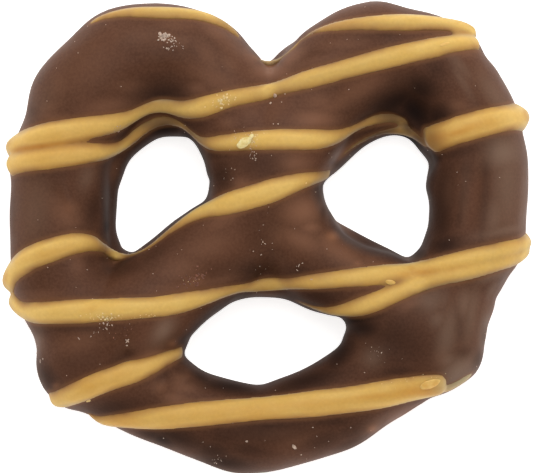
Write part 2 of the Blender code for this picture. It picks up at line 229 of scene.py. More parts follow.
# %% Milk chocolate, dipped and air cooled: a soft sheen on an uneven brown
CHOCOLATE_DEEP = "#472B1C"
CHOCOLATE_PALE = "#583828"
CHOCOLATE_RED = "#502F1F"
SKIN_TINTS = {                 # laid over it where the mesh says so, in this order
    "thin": "#865E48",         # a paler brown: thin skin on crowns, and painted light on outer sides and lit places
    "painted_sheen": "#80695A",        # painted sheen: a greyish haze laid where a highlight falls
    "painted_shade": "#1A0D09",       # painted shade: darkest where shade falls, on the walls of the holes and in hollows
    "tanned": "#94664A",       # where a crumb lies just below the skin
    "fringe": "#8A5F3A",       # where the foot of the drizzle runs out in it
}
MOTTLE = 5.0                   # mm, from the deep brown to the pale one and back
CLOUD = 1.6                    # mm, clouds of the reddish brown
CLOUD_SHARE = 0.35
SKIN_GRAIN = 0.22              # mm, coarser than the real grit, so that it shows
GRAIN_SHARE = 0.16
SHEEN_PATCH = 2.5              # mm, one patch of a duller or glossier skin
SHEEN = (0.46, 0.60)           # its roughness
# roughness where shade is painted, which dulls those places further
SHADE_ROUGHNESS = 0.85
SKIN_RELIEF = ((3.0, 0.10), (0.7, 0.012), (SKIN_GRAIN, 0.006))   # mm: wave, depth
FAT_IOR = 1.46                 # of cocoa butter, and of palm fat too

milk_chocolate, tree, shader = new_material("dipped_milk_chocolate")
shares = {key: add(tree, "ShaderNodeAttribute", attribute_name=key).outputs["Fac"]
          for key in SKIN_TINTS}
# the tints of the mesh lay painted shade, painted light and painted sheen over the brown
brown = paint(tree, linear(CHOCOLATE_DEEP), [
    (patches(tree, MOTTLE, 0.0, 1.0), CHOCOLATE_PALE),
    (patches(tree, CLOUD, 0.0, CLOUD_SHARE), CHOCOLATE_RED),
    (patches(tree, SKIN_GRAIN, 0.0, GRAIN_SHARE, FINE_DETAIL), SKIN_TINTS["thin"]),
    *[(shares[key], colour) for key, colour in SKIN_TINTS.items()]])
dull = add(tree, "ShaderNodeMix", {0: shares["painted_shade"], 2: patches(tree, SHEEN_PATCH, *SHEEN),
                                   3: SHADE_ROUGHNESS}).outputs[0]
feed(tree, shader, {"Base Color": brown, "Roughness": dull, "Normal": relief(tree, SKIN_RELIEF),
                    "IOR": FAT_IOR, "Specular IOR Level": 0.16})
print(milk_chocolate.name, len(tree.nodes), "nodes")

# %% [markdown]
# ## What the stream is made of
# A peanut coating is the same kind of thing without the cocoa: palm fat, sugar and peanut
# paste. It is duller than chocolate and lets light a little way in. Where it lies thick it
# is a full orange yellow, and where it runs out thin the brown shows through, so its colour
# goes with its depth over the chocolate, which is measured below and kept as an attribute.

# %% Peanut coating, piped: dull, slightly translucent, deeper in colour where it is thick
PEANUT_THIN = "#6E4A32"
PEANUT_EDGE = "#A87F4C"
PEANUT_PALE = "#DEBD6E"
PEANUT_THICK = "#CE9C46"
PEANUT_CLOUD = "#D6AD57"
DEPTH_TINTS = (                # mm: each takes over between two depths over the brown
    (0.02, 0.15, PEANUT_EDGE),
    (0.15, 0.38, PEANUT_PALE),
    (0.494, 0.66, PEANUT_THICK),
)
STREAM_TINTS = {               # laid over it where the mesh says so, in this order
    "full": "#C4832F",         # the orange of spots where it ran together
    "film_and_shade": "#695138",         # a film of it on the brown, and painted shade on the low ledges
    "pale_film_and_sheen": "#AA9C7C",    # one that has turned dull and greyish, and painted sheen on steep sides
}
STREAM_CLOUD = 1.8             # mm
STREAM_CLOUD_SHARE = 0.5
STREAM_GRAIN = 0.3             # mm
STREAM_GRAIN_SHARE = 0.14
STREAM_PATCH = 1.2             # mm, one patch of a duller or glossier coating
STREAM_SHEEN = (0.48, 0.62)    # its roughness
STREAM_RELIEF = ((1.4, 0.05), (0.25, 0.008))   # mm: wave, depth
LIGHT_REACH = 0.7              # mm, how far red light spreads in it

peanut_coating, tree, shader = new_material("piped_peanut_coating")
depth, *shares = [add(tree, "ShaderNodeAttribute", attribute_name=key).outputs["Fac"]
                  for key in ("depth_mm", *STREAM_TINTS)]
body = paint(tree, linear(PEANUT_THIN), [
    *[(add(tree, "ShaderNodeMapRange",
           {"Value": depth, "From Min": start, "From Max": stop}).outputs[0], colour)
      for start, stop, colour in DEPTH_TINTS],
    (patches(tree, STREAM_CLOUD, 0.0, STREAM_CLOUD_SHARE), PEANUT_CLOUD),
    (patches(tree, STREAM_GRAIN, 0.0, STREAM_GRAIN_SHARE, FINE_DETAIL), PEANUT_EDGE),
    *zip(shares, STREAM_TINTS.values())])
feed(tree, shader, {
    "Base Color": body, "Roughness": patches(tree, STREAM_PATCH, *STREAM_SHEEN),
    "Normal": relief(tree, STREAM_RELIEF), "IOR": FAT_IOR, "Specular IOR Level": 0.22,
    "Subsurface Weight": 0.40, "Subsurface Radius": (1.0, 0.82, 0.55),
    "Subsurface Scale": LIGHT_REACH * MM})
print(peanut_coating.name, len(tree.nodes), "nodes")

# %% [markdown]
# ## The rope
# A pretzel is one rope of dough: it makes two lobes, crosses over itself, and its two ends
# are pressed on the loop. The rope could be sculpted, but it follows a rule, a section
# swept along a path, so a few stations with a width and a height each are enough. They
# are the same stations that the solid model has, so both have one form.

# %% Stations of the rope and of the low webs, in mm: (x, y, half width, top)
FIRST_ARM = [
    (-15.6, -11, 4.4, 8), (-12.1, -7.4, 4.3, 8.5), (-9, -4.8, 4.25, 8), (-6.1, -2.7, 4.2, 7.9),
    (-2.8, 0, 4.3, 8.5), (-0.5, 3.2, 4.5, 9), (0.9, 6.6, 4.5, 9.1), (2.6, 9.6, 4.5, 8.6),
]
RIGHT_LOBE = [
    (5.1, 13, 4.6, 7.9), (8.8, 15.5, 4.9, 7.7), (12, 15.2, 4.7, 7.6), (14.8, 13.6, 4.55, 7.6),
    (16.5, 11.3, 4.45, 7.5),
]
RIGHT_SIDE = [
    (18.3, 8.6, 4.3, 7.3), (18.5, 5.2, 4.3, 7.2), (18.4, 1.8, 4.2, 7.2), (18, -0.9, 4.3, 7.3),
    (15.6, -4, 3.85, 7.6), (15.1, -7, 4.45, 8),
]
BOTTOM = [
    (11.7, -10.5, 4.25, 7.8), (8.8, -12.8, 4.1, 7.3), (5.5, -14.8, 3.95, 7.1), (2, -16.1, 3.85, 7),
    (-1.4, -16.7, 3.9, 7), (-5.2, -15.8, 3.8, 7), (-8.8, -14.2, 4, 7.1), (-12, -12.2, 4.4, 7.6),
]
LEFT_SIDE = [
    (-14.6, -9.6, 4.8, 7.9), (-16.4, -6.6, 4.55, 7.7), (-17.8, -3.2, 4.45, 7.3),
    (-18.1, 0.4, 4.2, 7.2), (-18.05, 4, 4.15, 7.2), (-17.7, 7.4, 4.3, 7.3),
]
LEFT_LOBE = [
    (-16.3, 10.6, 4.6, 7.5), (-14.3, 13.6, 4.85, 7.6), (-11.5, 15.15, 4.85, 7.6),
    (-8.3, 15.3, 4.85, 7.6), (-5.3, 13.9, 4.95, 7.7),
]
SECOND_ARM = [
    (-2.8, 10.8, 4.6, 8), (-0.9, 7.6, 4.5, 8.2), (0.2, 4.4, 4.5, 8.2), (1.7, 1.1, 4.2, 8),
    (4, -2.1, 3.7, 7.6), (6.9, -3.8, 3.45, 7.4), (10.1, -5.3, 3.9, 7.7), (12.6, -7.6, 4.2, 8.2),
    (14.7, -9.7, 4.25, 8),
]
ROPE = FIRST_ARM + RIGHT_LOBE + RIGHT_SIDE + BOTTOM + LEFT_SIDE + LEFT_LOBE + SECOND_ARM
WEBS = {
    "notch": [(-2.4, 14.2, 1.6, 4.6), (0.3, 13.2, 2, 4.4), (2.8, 15, 1.9, 4.4)],
    "crossing": [(-3.4, 9.6, 2.4, 8), (0.2, 8.2, 2.6, 8.6), (3.6, 6.4, 2.2, 7.6)],
    "left_hole_top": [(-14.3, 5.2, 1.6, 3.6), (-13.2, 8, 1.8, 4), (-10, 10.4, 1.9, 4.6),
                      (-6.8, 10.3, 1.7, 5)],
    "left_hole_foot": [(-14.3, 5.6, 1.4, 3.4), (-14.5, 3, 1.35, 3.2), (-14.5, 0.4, 1.3, 3.2),
                       (-14, -2, 1.3, 3.8), (-11.2, -3.1, 1.4, 4.8)],
    "right_hole_top": [(4.6, 7, 2, 5.2), (8, 9.8, 2, 4.6), (12, 10.6, 1.9, 4.2),
                       (14.6, 9.1, 1.8, 4.4), (15.6, 5.4, 1.5, 4.2)],
    "right_hole_foot": [(4.3, 1.3, 1, 3.4), (6.4, -0.2, 1.25, 3), (9.6, -2, 1.35, 3.2),
                        (12.4, -3.4, 1.5, 4.2), (14.8, -2.4, 1.4, 4.6)],
    "bottom_hole_top": [(-5.2, -4.5, 1.8, 5.4), (-1.6, -3.4, 1.8, 5.6), (1.8, -3.6, 1.8, 5.4),
                        (4.8, -5, 1.7, 5.2), (8.2, -5.5, 1.6, 5)],
    "bottom_hole_left": [(-8.4, -7.2, 1.8, 5.2), (-9.2, -10.4, 1.8, 5.4)],
    "bottom_hole_right": [(8.8, -7.2, 1.7, 5), (8.5, -9.6, 1.7, 5.2)],
}
print(len(ROPE), "stations of rope,", len(WEBS), "webs")

# %% A smooth path with domed ends through the stations
ROPE_STEP = 0.7                # mm between two rings
DOME_SHARES = (0.3, 0.5, 0.66, 0.8, 0.9, 0.97)   # rings of a rounded end, in half widths
DOME_TIP = 0.45                # height of that end at its tip, as a share of its top


def smooth_path(stations, step):
    """Rows about a step apart on a smooth curve through the stations, which start with x, y."""
    rows = np.array(stations, float)
    ends = [2 * rows[0] - rows[1], *rows, 2 * rows[-1] - rows[-2]]
    made = []
    for before, start, end, after in zip(ends, ends[1:], ends[2:], ends[3:]):
        count = max(2, round(float(np.linalg.norm(end[:2] - start[:2])) / step))
        for t in np.arange(count) / count:
            made.append(0.5 * (2 * start + (end - before) * t
                               + (2 * before - 5 * start + 4 * end - after) * t ** 2
                               + (3 * start - before - 3 * end + after) * t ** 3))
    return np.array([*made, rows[-1]])


def domed(path):
    """The path with rings added beyond both ends, which close it like a dome."""
    made = [path]
    for index, beside in ((0, 1), (-1, -2)):
        ahead = path[index, :2] - path[beside, :2]
        ahead /= np.linalg.norm(ahead)
        x, y, half_width, top = path[index]
        dome = []
        for share in DOME_SHARES:
            close = math.sqrt(1 - share ** 2)
            dome.append((x + ahead[0] * half_width * share, y + ahead[1] * half_width * share,
                         half_width * close, top * (DOME_TIP + (1 - DOME_TIP) * close)))
        made = [dome[::-1], *made] if index == 0 else [*made, dome]
    return np.concatenate(made)


def polyline(name, chains, columns):
    """A mesh of edges through each chain's points, with its other columns as attributes."""
    points, edges = [], []
    for chain in chains:
        edges += [(len(points) + i, len(points) + i + 1) for i in range(len(chain) - 1)]
        points += [Vector(row[:3]) * MM for row in chain]
    rows = np.concatenate(chains)
    made = bpy.data.meshes.new(name)
    made.from_pydata(points, edges, [])
    for key, (kind, start, stop) in columns.items():
        field = "value" if kind == "FLOAT" else "vector"
        held = made.attributes.new(key, kind, "POINT").data
        held.foreach_set(field, rows[:, start:stop].ravel())
    return made


lengths = [np.insert(domed(smooth_path(stations, ROPE_STEP)), 2, 0.0, axis=1)
           for stations in (ROPE, *WEBS.values())]     # x, y, 0, half width, top
path_mesh = polyline("rope_paths", lengths, {
    "half_width": ("FLOAT", 3, 4), "top": ("FLOAT", 4, 5)})
print(len(path_mesh.vertices), "rings in", len(lengths), "lengths")

# %% [markdown]
# ## Sweeping the rope with Geometry Nodes
# A curve with a bevel would sweep a round section, but dough that lay on a belt is flat
# below and domed above. So the tree makes its own section from a circle: both coordinates
# are raised to a power below 1, which squares it off, and the waist is set low. A section's
# +Y turns to -Z on a curve whose normals lie level, so its sign is turned round. Each ring
# then takes its height from the path's own numbers.

# %% A tree with named inputs, its end, and a function that runs it
def new_tree(name, sizes):
    """An empty Geometry Nodes tree: its input and output nodes, with named sizes."""
    tree = bpy.data.node_groups.new(name, "GeometryNodeTree")
    for key, kind in {"Geometry": "Geometry", **sizes, "Material": "Material"}.items():
        tree.interface.new_socket(key, in_out="INPUT", socket_type="NodeSocket" + kind)
    tree.interface.new_socket("Geometry", in_out="OUTPUT", socket_type="NodeSocketGeometry")
    return tree, add(tree, "NodeGroupInput").outputs, add(tree, "NodeGroupOutput").inputs


def end_tree(tree, given, result, geometry):
    """Ends a tree: copies are made real, and all of it gets the material."""
    real = add(tree, "GeometryNodeRealizeInstances", {"Geometry": geometry})
    dressed = add(tree, "GeometryNodeSetMaterial",
                  {"Geometry": real.outputs[0], "Material": given["Material"]})
    feed(tree, result, {"Geometry": dressed.outputs[0]})


def apply_modifiers(made):
    """Replaces an object's mesh by what its modifiers make of it."""
    graph = bpy.context.evaluated_depsgraph_get()
    data = bpy.data.meshes.new_from_object(made.evaluated_get(graph))
    made.modifiers.clear()
    old, made.data = made.data, data
    if not old.users:
        bpy.data.meshes.remove(old)
    data.name = made.name


def run_tree(name, tree, source, sizes):
    """A plain mesh object: what the tree makes of the source mesh with these sizes."""
    made = put(name, source)
    modifier = made.modifiers.new(name, "NODES")
    modifier.node_group = tree
    for item in tree.interface.items_tree:
        if item.item_type == "SOCKET" and item.in_out == "INPUT" and item.name in sizes:
            modifier[item.identifier] = sizes[item.name]
    apply_modifiers(made)
    return made


# %% The rope's section: a circle that is flat below and domed above
WAIST = 0.42                   # widest at this share of the height
CROWN_SQUARE = 0.88            # power of the domed top
BASE_SQUARE = 0.58             # power of the flat underside
ROPE_SIDES = 40

sweep_rope, given, result = new_tree("sweep_rope", {
    "Sides": "Int", "Waist": "Float", "Crown square": "Float", "Base square": "Float"})
circle = add(sweep_rope, "GeometryNodeCurvePrimitiveCircle", {"Resolution": given["Sides"]})
spot = add(sweep_rope, "ShaderNodeSeparateXYZ",
           {"Vector": add(sweep_rope, "GeometryNodeInputPosition").outputs[0]}).outputs
is_crown = add(sweep_rope, "FunctionNodeCompare", {0: spot["Y"], 1: 0.0},
               data_type="FLOAT", operation="GREATER_THAN").outputs[0]
crown_share = add(sweep_rope, "ShaderNodeMath", {0: 1.0, 1: given["Waist"]},
                  operation="SUBTRACT").outputs[0]
square, share = [
    add(sweep_rope, "GeometryNodeSwitch", {"Switch": is_crown, "False": below, "True": above},
        input_type="FLOAT").outputs[0]
    for below, above in ((given["Base square"], given["Crown square"]),
                         (given["Waist"], crown_share))]


def power(value, exponent):
    """value raised to the exponent, with its sign kept."""
    size = add(sweep_rope, "ShaderNodeMath", {0: value}, operation="ABSOLUTE").outputs[0]
    raised = add(sweep_rope, "ShaderNodeMath", {0: size, 1: exponent}, operation="POWER").outputs[0]
    sign = add(sweep_rope, "ShaderNodeMath", {0: value}, operation="SIGN").outputs[0]
    return add(sweep_rope, "ShaderNodeMath", {0: raised, 1: sign}, operation="MULTIPLY").outputs[0]


rise = add(sweep_rope, "ShaderNodeMath",
           {0: power(spot["Y"], square), 1: share, 2: given["Waist"]},
           operation="MULTIPLY_ADD").outputs[0]
fall = add(sweep_rope, "ShaderNodeMath", {0: rise, 1: -1.0}, operation="MULTIPLY").outputs[0]
bent = add(sweep_rope, "ShaderNodeCombineXYZ", {"X": power(spot["X"], square), "Y": fall})
section = add(sweep_rope, "GeometryNodeSetPosition",
              {"Geometry": circle.outputs["Curve"], "Position": bent.outputs[0]})
print("the section has", len(sweep_rope.nodes), "nodes")

# %% The sweep: the section goes along the path, and each ring takes its own height
path = add(sweep_rope, "GeometryNodeMeshToCurve", {"Mesh": given["Geometry"]})
upright = add(sweep_rope, "GeometryNodeSetCurveNormal", {"Curve": path.outputs[0]}, mode="Z_UP")
half_width, top = [
    add(sweep_rope, "GeometryNodeInputNamedAttribute", {"Name": key},
        data_type="FLOAT").outputs["Attribute"] for key in ("half_width", "top")]
in_metres = add(sweep_rope, "ShaderNodeMath", {0: half_width, 1: MM}, operation="MULTIPLY")
swept = add(sweep_rope, "GeometryNodeCurveToMesh",
            {"Curve": upright.outputs[0], "Profile Curve": section.outputs[0],
             "Scale": in_metres.outputs[0], "Fill Caps": True})
stretch = add(sweep_rope, "ShaderNodeMath", {0: top, 1: half_width}, operation="DIVIDE")
stretch_up = add(sweep_rope, "ShaderNodeCombineXYZ", {"X": 1.0, "Y": 1.0, "Z": stretch.outputs[0]})
place = add(sweep_rope, "GeometryNodeInputPosition")
higher = add(sweep_rope, "ShaderNodeVectorMath",
             {0: place.outputs[0], 1: stretch_up.outputs[0]}, operation="MULTIPLY")
tall = add(sweep_rope, "GeometryNodeSetPosition",
           {"Geometry": swept.outputs[0], "Position": higher.outputs[0]})
end_tree(sweep_rope, given, result, tall.outputs[0])

coat = run_tree("milk_chocolate_coat", sweep_rope, path_mesh, {
    "Sides": ROPE_SIDES, "Waist": WAIST, "Crown square": CROWN_SQUARE,
    "Base square": BASE_SQUARE, "Material": milk_chocolate})
print("swept rope:", len(coat.data.polygons), "faces, top at",
      round(max(vertex.co.z for vertex in coat.data.vertices) / MM, 2), "mm")

# %% [markdown]
# ## The chocolate skin
# Warm chocolate flows over the dough and fills every crease where two strands meet. The
# swept lengths only overlap, so a voxel remesh fuses them into one closed skin, and a few
# rounds of smoothing let it settle as a liquid would. The number of rounds goes with the
# square of the grain, which keeps the rounding the same as on the solid model.

# %% Fuse and melt
FUSE_VOXEL = 0.25              # mm
MELT_ROUNDS = 30
MELT_SHARE = 0.5               # of the way to the middle of its neighbours, in each round


def fuse(made, voxel, rounds):
    """Fuses what overlaps into one closed skin and smooths it."""
    remesh = made.modifiers.new("fuse", "REMESH")
    remesh.mode = "VOXEL"
    remesh.voxel_size = voxel * MM
    melt = made.modifiers.new("melt", "SMOOTH")
    melt.iterations = rounds
    melt.factor = MELT_SHARE
    apply_modifiers(made)


fuse(coat, FUSE_VOXEL, MELT_ROUNDS)
print("coat:", 2 * len(coat.data.polygons), "triangles")

# %% [markdown]
# ## Ripples, hollows and creases
# The skin is never even: it ripples slowly, it sinks where two strands meet below it, and
# it keeps a few fine creases where it ran and set. Sculpting by hand can't be repeated, so
# each mark is written down as a soft bell: where it is, how long, how wide, which way it
# lies and how deep. The first list is the solid model's own, the second adds finer marks.

# %% Marks pressed in the skin: (x, y, half length, half width, turn in degrees, depth) in mm
HOLLOWS = [
    (12.9, 11.3, 2.3, 1.4, -50, 2.4), (-9.3, 12.7, 2.2, 1.3, 5, 0.9),
    (18.8, 3.8, 3.4, 0.55, 86, 0.3), (-13.4, -2.4, 1.9, 0.8, -15, 0.6),
    (-12.2, -10.3, 0.8, 0.8, 0, 0.45), (-8.9, -12.6, 0.9, 0.5, 60, -0.3),
    (3.3, 2.7, 1.4, 1.1, 30, -0.28), (-0.8, -3.2, 1.8, 0.9, 10, 0.35),
]
FINE_MARKS = [
    (-8.1, -9.3, 0.45, 0.35, 20, -0.16), (5.7, 0, 0.5, 0.4, 0, -0.16),
    (-7.3, -12.6, 1, 0.28, 66, 0.26), (-9.6, -12.9, 0.8, 0.25, 80, 0.16),
    (-8.9, -8.3, 1.1, 0.8, 30, -0.22), (-12, -10.1, 0.75, 0.4, 10, 0.12),
    (-18.2, -12.9, 0.4, 0.3, 30, -0.1), (17.1, -8, 2.2, 0.4, 82, 0.26),
    (15.3, -6.2, 2, 0.5, 76, -0.18), (9.6, -10.1, 1, 0.8, 0, -0.2),
    (16.4, 3.6, 3.2, 0.5, 85, -0.14), (-16.6, 2.4, 2.4, 0.5, -62, -0.16),
    (-15.6, 2, 2.2, 0.4, -64, 0.16), (16.3, 10.4, 0.8, 0.5, 60, 0.12),
    (14.9, 11.6, 0.6, 0.4, 0, -0.1), (-7.2, 4.8, 1, 0.4, -20, 0.08),
    (12.8, 9.8, 1.8, 0.8, -38, 0.9), (9.2, -16.7, 0.5, 0.4, 10, -0.12),
]
print(len(HOLLOWS), "hollows of the solid model and", len(FINE_MARKS), "finer marks")

# %% Pressing them in
RIPPLE = 0.13                  # mm, height
RIPPLE_LENGTH = 5.5            # mm, one wave
RIPPLE_SEED = Vector((3.1, 7.7, 1.9))
UNDERSIDE = -0.7               # a skin that faces down more than this has no ripple
LEVEL_BELOW = 0.08             # mm, and up to this height it lies level on the table


def read_vectors(block, field):
    """The vectors of a mesh's vertices or normals as rows."""
    flat = np.zeros(3 * len(block))
    block.foreach_get(field, flat)
    return flat.reshape(-1, 3)


def rotated(u, v, turn):
    """A flat vector turned to the left by an angle in degrees."""
    c, s = math.cos(math.radians(turn)), math.sin(math.radians(turn))
    return u * c - v * s, u * s + v * c


def bell(x, y, at_x, at_y, long_half, wide_half, turn):
    """A soft bell that is 1 at its middle, for every x, y."""
    u, v = rotated(x - at_x, y - at_y, -turn)
    return np.exp(-((u / long_half) ** 2 + (v / wide_half) ** 2))


def press(made, marks, bulges):
    """Adds the slow ripple, the marks and the bulges, and keeps the base flat."""
    places = read_vectors(made.data.vertices, "co") / MM
    normals = read_vectors(made.data.vertex_normals, "vector")
    x, y = places[:, :2].T.copy()
    wave = np.array([noise.noise(Vector(p) / RIPPLE_LENGTH + RIPPLE_SEED) for p in places])
    above = normals[:, 2] > UNDERSIDE
    places[above] += (normals * wave[:, None] * RIPPLE)[above]
    for *where, depth in marks:
        places[:, 2] -= depth * bell(x, y, *where) * np.clip(normals[:, 2], 0, 1)
    for at_x, at_y, radius, out in bulges:
        places[:, :2] += normals[:, :2] * out * bell(x, y, at_x, at_y, radius, radius, 0)[:, None]
    places[places[:, 2] < LEVEL_BELOW, 2] = 0.0
    made.data.vertices.foreach_set("co", (places * MM).ravel())
    made.data.update()


def keep(made, key, values):
    """Keeps one number for each vertex of a mesh."""
    made.data.attributes.new(key, "FLOAT", "POINT").data.foreach_set("value", values)


def spotted(made, spots):
    """For each vertex, the share of the strongest bell of a list at its place."""
    x, y = (read_vectors(made.data.vertices, "co") / MM)[:, :2].T
    return np.max([share * bell(x, y, *where) for *where, share in spots], axis=0)


print("a bell falls to", round(float(bell(1, 0, 0, 0, 1, 1, 0)), 2), "at its half length")

# %% Bulges of the sides, in mm: (x, y, radius, out), and all the marks pressed in
BULGES = [
    (-17.2, 17.4, 2.2, -0.3), (-20.6, 14, 2, 0.28), (-22.3, 2, 2.5, 0.1), (-13, 18.8, 3.2, 0.26),
    (-8.6, 19.6, 2.4, 0.12), (-1.8, 16.2, 1.5, -0.36), (0.2, 14.9, 1, -0.16),
    (3.5, 17.4, 1.5, 0.18), (12.2, 19.8, 1.4, -0.14), (15.8, 18.7, 1.8, 0.22),
    (18, 17.5, 1.8, 0.46), (19.9, 13.8, 2.6, 0.24), (22.6, 8.9, 1.6, -0.18),
    (21.2, -3.5, 1.2, -0.2), (19.9, -5.8, 1.2, 0.32), (19.4, -7.5, 1.3, -0.22),
    (16.6, -13.2, 1.6, -0.24), (14.2, -14.4, 1, 0.14), (-20.2, -10.5, 2, 0.14),
    (-16.4, -15.3, 1, -0.12), (-15, -16.1, 1, 0.3), (-21.4, 10.6, 1.6, -0.3),
    (-20.4, -8.8, 1.2, -0.18), (-22.2, -5, 1.4, 0.14), (-22.5, 6.2, 1.2, 0.28),
    (13.9, 4.4, 1.1, 0.36), (13.2, -0.8, 1.1, -0.34), (5.3, 2.9, 1.5, -0.28), (12.9, 7.9, 1, 0.2),
    (13.9, 6.3, 0.9, -0.34), (10.6, 8.8, 1.4, -0.14), (-13.2, 3, 2.6, 0.2),
    (-12.9, -0.7, 0.9, 0.3), (-8, 1, 2.2, 0.2), (-5, 5.4, 1, 0.3), (-5.4, 3.3, 0.9, -0.3),
    (-6.3, 8, 1, -0.12), (-6.6, -8.9, 1.6, 0.32), (-5.4, -11.5, 1.4, -0.16),
    (-0.4, -12.9, 1.2, -0.18), (6.4, -7.2, 0.8, -0.34), (6.9, -8.9, 0.8, 0.22),
    (0, -5.2, 1.8, 0.14), (19.2, 15.8, 1, -0.18), (-9.2, -18.3, 2.2, -0.12),
    (-3.2, -20.3, 1.8, 0.14), (7.5, -18.2, 1.6, 0.1), (10.7, -16.4, 1.6, -0.14),
    (9.6, 20.3, 1.4, 0.1),
]
press(coat, HOLLOWS + FINE_MARKS, BULGES)
print(len(BULGES), "bulges, the largest", max(bulge[-1] for bulge in BULGES), "mm")

# %% Painted shade, a dark brown where shade falls: (x, y, half length, half width, turn in degrees, share), in mm
PAINTED_SHADE_SPOTS = [
    (12.9, 10.8, 2.7, 1.6, -50, 1), (11.2, 11.7, 2.6, 1.3, 20, 0.9),
    (13.4, 12.8, 1.7, 1.4, 0, 0.76), (14.6, 14.3, 1.2, 1.1, 0, 0.44),
    (14.8, 10.4, 1.7, 1.3, 0, 0.82), (9.2, 17.3, 2.2, 0.5, 3, 0.22), (-9, 12.3, 2.6, 1.1, 4, 0.76),
    (-8.8, 9.4, 2.4, 0.9, 5, 0.96), (-11.2, 8.4, 1.6, 0.6, 50, 0.76),
    (-6.9, 8.7, 1, 0.6, -40, 0.85), (-5.9, 9.7, 1.2, 0.5, 0, 0.4),
    (-12, -10.1, 0.8, 0.4, 10, 0.34), (4.6, -5.2, 2.6, 0.7, -4, 0.56),
    (8.3, 8.95, 2.6, 0.4, 33, 0.36), (12.1, 8.7, 1.1, 0.5, -20, 1),
    (12.8, 8.3, 1.5, 0.8, -40, 0.95), (18.8, 3, 4, 0.45, 86, 0.28), (15.2, 2.4, 5, 1.2, 86, 0.66),
    (16.9, 3.4, 2.6, 0.5, 80, 0.34), (16.6, 1.6, 1.5, 0.5, 80, 0.4),
    (-13.9, 0.9, 1.2, 0.4, 90, 0.8), (-15.6, 0.8, 1.2, 0.3, 0, 0.36),
    (14.9, 7.2, 1.6, 0.5, 14, 0.6), (18.9, 5.6, 0.5, 1.2, 0, 0.34), (-17, -7.9, 3.4, 0.4, 0, 0.4),
    (0.6, -16.4, 5, 0.4, 3, 0.6), (5.4, -16.1, 2.6, 0.4, 3, 0.5), (-2, -19.5, 2.4, 0.5, 0, 0.36),
    (-9, -17.6, 1.4, 0.7, -20, 0.84), (11.3, -11.6, 1.8, 0.5, 6, 0.5),
    (14.7, 10, 1.2, 0.5, 14, 0.9), (15.4, -0.7, 1.7, 1, 10, 0.8), (16.4, 7.2, 2.4, 0.7, 15, 0.46),
    (-0.8, 6.3, 3, 1.3, 0, 0.37), (-4, 7, 1.2, 0.4, 0, 0.46), (-3.8, 5.2, 1.1, 1.5, 0, 0.58),
    (4.5, 3.8, 0.5, 1.5, 10, 0.5), (-3.6, -2.8, 2.6, 0.8, 20, 0.16), (-0.9, -3, 1.8, 0.9, 0, 0.46),
    (2.8, -3, 1.4, 0.7, 0, 0.44), (-0.4, 0.9, 1.4, 2.2, 0, 0.14), (-9.6, -1.5, 2.6, 0.6, 32, 0.34),
    (-12, -2.7, 2.6, 0.7, 12, 0.36), (-15.2, -2.2, 0.6, 0.6, 0, 0.24),
    (-15, 2.2, 0.8, 2, -15, 0.5), (-13.9, 1.6, 0.5, 2.6, 0, 0.64), (-12, 7, 1.6, 0.6, 55, 0.4),
    (-20.3, 10.8, 0.7, 0.8, 0, 0.3), (-4.8, 7, 0.7, 0.5, 0, 0.42), (4.9, 2.2, 0.4, 0.9, 0, 0.5),
    (17, -10, 0.8, 0.6, 0, 0.3), (8, -7.2, 2.4, 0.6, 10, 0.9), (17.2, 5.8, 0.8, 1.2, 0, 0.34),
    (14.8, 6.9, 0.8, 0.8, 0, 0.66), (13, -1.4, 1, 0.8, 0, 0.75), (-22.1, 2.6, 2.2, 0.4, 90, 0.24),
    (-18.4, 5.4, 2.2, 0.7, 0, 0.2), (8.4, -7.9, 1.9, 1.2, 0, 0.82), (11, -9, 4, 2.6, -20, 0.52),
    (12.8, -6.6, 1.4, 0.7, 20, 0.24), (16.7, -8.2, 0.4, 1.6, 0, 0.24),
    (6.4, -10.2, 2.2, 1.1, 50, 0.82), (3.4, -12.5, 3.8, 1, 16, 0.8),
    (-3.2, -13, 3.4, 0.7, -8, 0.84), (-5.6, -12.2, 1.6, 0.6, -35, 0.7),
    (-7.4, -11.6, 1, 0.5, -20, 0.4), (-8.8, -11.9, 0.9, 0.6, 40, 0.4),
    (-12.6, -10.6, 1.4, 0.7, 20, 0.38), (-19, -12.2, 1.1, 1.8, 30, 0.66),
    (-19.4, -8.2, 1.2, 0.6, 0, 0.3), (-13.2, -14.8, 3, 0.9, 8, 0.62),
    (-16.6, -11.1, 3.2, 1.3, 14, 0.26), (-8, -17.3, 3.4, 1, -15, 0.7),
    (-4.6, -18.6, 2, 1, -10, 0.62), (-3.6, -19.6, 2.6, 0.9, -8, 0.76),
    (4.8, -17.6, 2.2, 1.1, 12, 0.46), (7.4, -16.9, 2.4, 1, 20, 0.36),
    (-0.4, -16.9, 7, 1.3, 6, 0.52), (-1.6, -18.4, 2.2, 0.8, -10, 0.52),
    (10.4, 17.5, 1.6, 0.4, 3, 0.36), (-9.4, 13.2, 2.2, 1, 0, 0.34), (14.4, 5.6, 0.6, 2.4, 0, 0.56),
    (-9.8, -17.2, 1.8, 0.7, -10, 0.7), (7.2, -18, 1.8, 0.8, 22, 0.4),
    (18.4, -10.7, 0.6, 1, -10, 0.46), (18.9, -8.6, 0.4, 1.2, 0, 0.34),
]
print(len(PAINTED_SHADE_SPOTS), "painted_shade_spots")

# %% Crumbs just below the skin, written in the same way
CRUMBS_BELOW = [
    (5.7, 0, 0.5, 0.4, 0, 0.75), (7.9, -2.3, 0.3, 0.18, 0, 0.5), (-8.1, -9.3, 0.42, 0.32, 20, 0.6),
    (-18.2, -12.9, 0.35, 0.25, 30, 0.35), (9.2, -16.7, 0.4, 0.3, 10, 0.6),
    (-6.2, -3.9, 0.9, 0.5, 20, 0.35), (-17, 2.5, 0.6, 0.5, 0, 0.15),
    (-8.6, 17.2, 0.6, 0.35, -15, 0.45),
]
print(len(CRUMBS_BELOW), "crumbs below the skin")
